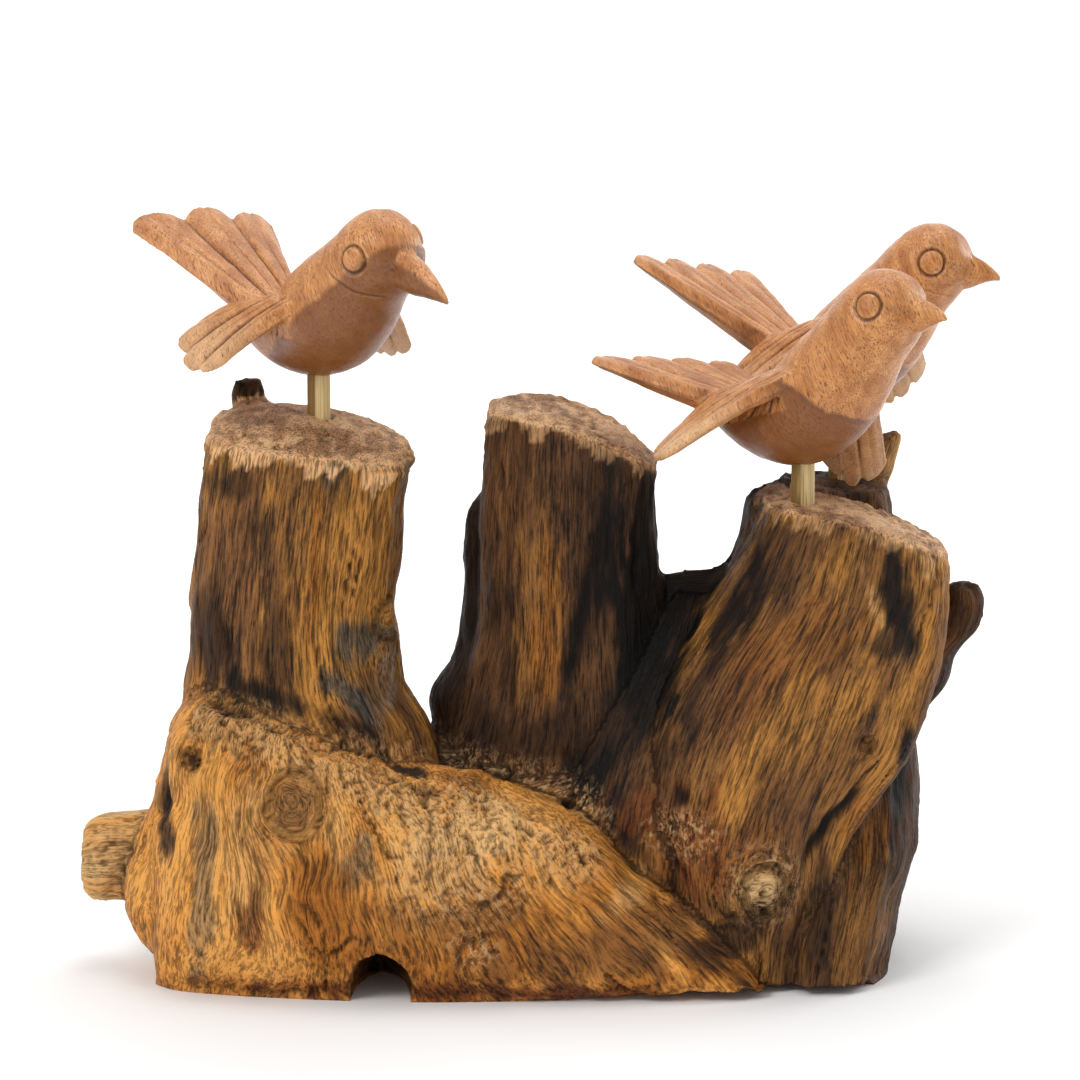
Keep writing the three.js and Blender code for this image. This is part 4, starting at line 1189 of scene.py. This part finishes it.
def root_wood():
    """Weathered root wood: its painted tint, times the light and dark of noise at three widths along the
    grain, of pale fibres, of a painted highlight on the crests and of dark cracks, which are fainter on
    pale wood, with speckled burl, painted shade in the hollows and clefts, and fine ribs."""
    f = Finish("root_wood")
    grain = f.attribute("grain", "Vector")
    broad = f.noise(f.stretched(grain, 5, 60), 3, 0.6, 0.6)
    middle = f.noise(f.stretched(grain, 1.7, 26), 4, 0.62, 0.4)
    fine = f.noise(f.stretched(grain, 0.62, 8), 4, 0.66, 0.3)
    speck = f.noise(f.stretched(grain, 1.1, 2.2), 4, 0.7, 0.5)
    streaks = f.sum(f.sum(f.times(broad, 0.35), f.times(middle, 0.35)), f.times(fine, 1.4))
    light = f.times(f.span(streaks, 0.82, 1.28, 0.16, 1.98), f.span(speck, 0.36, 0.64, 0.78, 1.22))
    fibres = f.times(f.span(fine, 0.54, 0.68, 0, 0.9), f.span(middle, 0.42, 0.62))
    light = f.times(light, f.sum(fibres, 1.0))
    # Painted highlight: the crests are lit up by as much as 1.45.
    light = f.times(light, f.span(f.attribute("ridge_highlight"), 0, 1, 1, 1.45))
    light = f.times(light, f.span(middle, 0.38, 0.28, 1, 0.35))
    light = f.times(light, f.span(fine, 0.42, 0.32, 1, 0.5))
    light = f.sum(light, 1.7, "MINIMUM")
    colour = f.lit(f.attribute("tint", "Color"), light)
    burl = f.span(f.attribute("burl"), 0.2, 0.8)
    colour = f.blend(f.times(f.span(speck, 0.48, 0.64, 0, 0.75), burl), colour, shade(0.86, 0.69, 0.49))
    colour = f.blend(f.times(f.span(speck, 0.42, 0.32, 0, 0.6), burl), colour, shade(0.22, 0.14, 0.085))
    # Painted shade in the hollows and clefts.
    colour = f.blend(f.span(f.attribute("hollow_shade"), 0.05, 1, 0, 0.9), colour, shade(0.08, 0.055, 0.035))
    height = f.sum(f.sum(f.times(middle, 0.7), f.times(fine, 0.9)), f.times(speck, 0.35))
    return f.finish(colour, f.span(middle, 0.3, 0.7, 0.4, 0.66), f.bump(height, 1.0, 0.0008), 0.18)


def carved_wood():
    """Sanded and oiled pale wood: bands and fine fibres along the grain, short dark pores, a belly darker
    below the growth line, partly its own wood and partly painted shade on the faces turned down, painted
    shade in the cuts and hollows, a painted highlight on the crests, and paler tips."""
    f = Finish("carved_wood")
    grain = f.attribute("grain", "Vector")
    band = f.noise(f.stretched(grain, 5, 34), 3, 0.55, 0.4)
    fibre = f.noise(f.stretched(grain, 0.5, 9), 4, 0.62, 0.1)
    pore = f.noise(f.stretched(grain, 0.38, 2.4), 2, 0.6)
    patch = f.noise(f.stretched(grain, 9, 14), 2, 0.5)
    colour = f.blend(f.span(band, 0.35, 0.65), shade(0.70, 0.44, 0.22), shade(0.87, 0.61, 0.37))
    colour = f.blend(f.span(fibre, 0.45, 0.62, 0, 0.6), colour, shade(0.57, 0.33, 0.15))
    colour = f.blend(f.span(patch, 0.5, 0.7, 0, 0.5), colour, shade(0.62, 0.37, 0.18))
    # Below the growth line the wood is darker, but only on the faces turned down: partly the wood's own
    # tone and partly painted shade under the belly.
    below = f.sum(f.attribute("below_line"), f.span(band, 0.3, 0.7, 0.4, -0.4))
    darker = f.times(f.span(below, -0.5, 0.5, 0, 0.8), f.attribute("under"))
    colour = f.blend(darker, colour, shade(0.44, 0.245, 0.09))
    line = f.times(f.span(below, 0.9, 0.1), f.span(below, -0.9, -0.2))
    colour = f.blend(f.times(f.times(line, f.attribute("sharp")), 0.6), colour, shade(0.34, 0.18, 0.08))
    colour = f.blend(f.span(f.attribute("tip"), 0.2, 1, 0, 0.45), colour, shade(0.92, 0.78, 0.60))
    colour = f.blend(f.span(pore, 0.56, 0.66, 0, 0.75), colour, shade(0.36, 0.19, 0.09))
    # Painted highlight on the crests.
    colour = f.blend(f.span(f.attribute("ridge_highlight"), 0, 1, 0, 0.25), colour, shade(0.94, 0.74, 0.51))
    # Painted shade in the hollows, cuts, eye rings, facet and seam, with the dark knot spots.
    colour = f.blend(f.span(f.attribute("hollow_shade"), 0.1, 1, 0, 0.85), colour, shade(0.30, 0.15, 0.065))
    height = f.sum(fibre, f.span(pore, 0.58, 0.72, 0, -0.8))
    return f.finish(colour, f.span(fibre, 0.35, 0.7, 0.25, 0.38), f.bump(height, 0.4, 0.0006), 0.5)


def bamboo():
    """Bamboo: straight fibres, olive brown on the side towards -x and pale straw on the side towards +x."""
    f = Finish("bamboo")
    grain = f.attribute("grain", "Vector")
    fibre = f.noise(f.stretched(grain, 0.35, 30), 3, 0.6)
    wide = f.noise(f.stretched(grain, 1.6, 40), 2, 0.5)
    split = f.add("ShaderNodeSeparateXYZ")
    f.join(grain, split.inputs["Vector"])
    side = f.span(f.sum(split.outputs["X"], f.span(wide, 0.3, 0.7, -1.5, 1.5)), -0.9, 0.2)
    colour = f.blend(side, shade(0.52, 0.40, 0.20), shade(0.86, 0.76, 0.54))
    colour = f.blend(f.span(fibre, 0.5, 0.66, 0, 0.6), colour, shade(0.45, 0.33, 0.16))
    return f.finish(colour, f.span(fibre, 0.3, 0.7, 0.45, 0.65), f.bump(fibre, 0.5, 0.0004), 0.4)


# Stage, in metres

# Area lamps: [name, place, size, power, the place it shines at].
LAMPS = [
    ("key", (-0.9, -1.1, 1.3), 0.7, 12, (0, 0, 0.12)),
    ("top", (0.1, 0.2, 1.5), 0.8, 7, (0, 0, 0.12)),
    ("rim", (1.1, 0.7, 0.5), 0.6, 6, (0, 0, 0.14)),
    ("backdrop", (0, 0.9, 1.4), 1.2, 14, (0, 2, 0.6)),
]
WORLD_LIGHT = 0.66
LENS, SENSOR = 122.22, 36  # in millimetres
CAMERA_AWAY = 1.1
CAMERA_RISE = 9  # degrees above the horizon
AIM_HEIGHT = 0.1305


def sweep():
    """The floor that curves up into the backdrop: a quarter circle between two flats, drawn out
    sideways."""
    turn = np.linspace(0, math.pi / 2, 24)
    y = np.concatenate([[-4.0], 1.2 + 0.8 * np.sin(turn), [2.0]])
    z = np.concatenate([[0.0], 0.8 - 0.8 * np.cos(turn), [4.0]])
    points = np.stack([np.tile([-4.0, 4.0], len(y)), np.repeat(y, 2), np.repeat(z, 2)], -1)
    faces = [[2 * k, 2 * k + 1, 2 * k + 3, 2 * k + 2] for k in range(len(y) - 1)]
    floor = shown("floor", mesh_of("floor", points / MM, faces))
    smooth_shaded(floor.data)
    floor.data.materials.append(Finish("studio_white").finish((0.93, 0.93, 0.93, 1), 0.9, None, 0.1))
    return floor


def studio(shift):
    """A white sweep in a white world, a broad key from the upper left, a soft light above, a bright strip
    behind on the right, and the camera in front."""
    scene = bpy.context.scene
    scene.view_settings.view_transform = "Standard"
    world = bpy.data.worlds.new("studio")
    scene.world = world
    world.use_nodes = True
    back = world.node_tree.nodes["Background"]
    back.inputs["Color"].default_value = (1, 1, 1, 1)
    back.inputs["Strength"].default_value = WORLD_LIGHT
    sweep()

    for name, place, size, power, toward in LAMPS:
        light = bpy.data.lights.new(name, "AREA")
        light.energy, light.size = power, size
        lamp = bpy.data.objects.new(name, light)
        lamp.location = place
        lamp.rotation_euler = (Vector(toward) - Vector(place)).to_track_quat("-Z", "Y").to_euler()
        scene.collection.objects.link(lamp)

    view = bpy.data.cameras.new("camera")
    view.lens, view.sensor_width = LENS, SENSOR
    view.clip_end = 20
    camera = bpy.data.objects.new("camera", view)
    aim = Vector([-shift[0] * MM, -shift[1] * MM, AIM_HEIGHT])
    rise = math.radians(CAMERA_RISE)
    camera.location = aim + CAMERA_AWAY * Vector([0, -math.cos(rise), math.sin(rise)])
    camera.rotation_euler = (aim - camera.location).to_track_quat("-Z", "Y").to_euler()
    scene.collection.objects.link(camera)
    scene.camera = camera


# The whole

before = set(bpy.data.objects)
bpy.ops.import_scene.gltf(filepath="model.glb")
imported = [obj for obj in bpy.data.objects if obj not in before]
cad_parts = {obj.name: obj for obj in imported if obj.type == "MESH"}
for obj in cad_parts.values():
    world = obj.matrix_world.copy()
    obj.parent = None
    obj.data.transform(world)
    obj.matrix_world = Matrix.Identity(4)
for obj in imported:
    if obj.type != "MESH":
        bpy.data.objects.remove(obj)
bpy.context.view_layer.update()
low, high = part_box("left_peg")
middle = (low + high) / 2 / MM
shift = np.array([BIRDS["left"]["peg"][0] - middle.x, BIRDS["left"]["peg"][1] - middle.y, 0])
studio(shift)

wood, carved, straw = root_wood(), carved_wood(), bamboo()
pieces = [(root_block(shift), "root_stump", "root_wood", wood)]
for name, bird in BIRDS.items():
    body = carved_bird(f"carved_{name}_bird", bird, MARKS[name], f"{name}_bird", shift)
    pieces.append((body, f"{name}_bird", "carved_wood", carved))
    pieces.append((peg(f"bamboo_{name}_peg", bird, shift), f"{name}_peg", "bamboo", straw))
for piece, node, slot, finish in pieces:
    piece.data.materials.clear()
    piece.data.materials.append(finish)
    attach(piece, "root")
    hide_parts(node)
    print(piece.name, len(piece.data.vertices), "vertices")
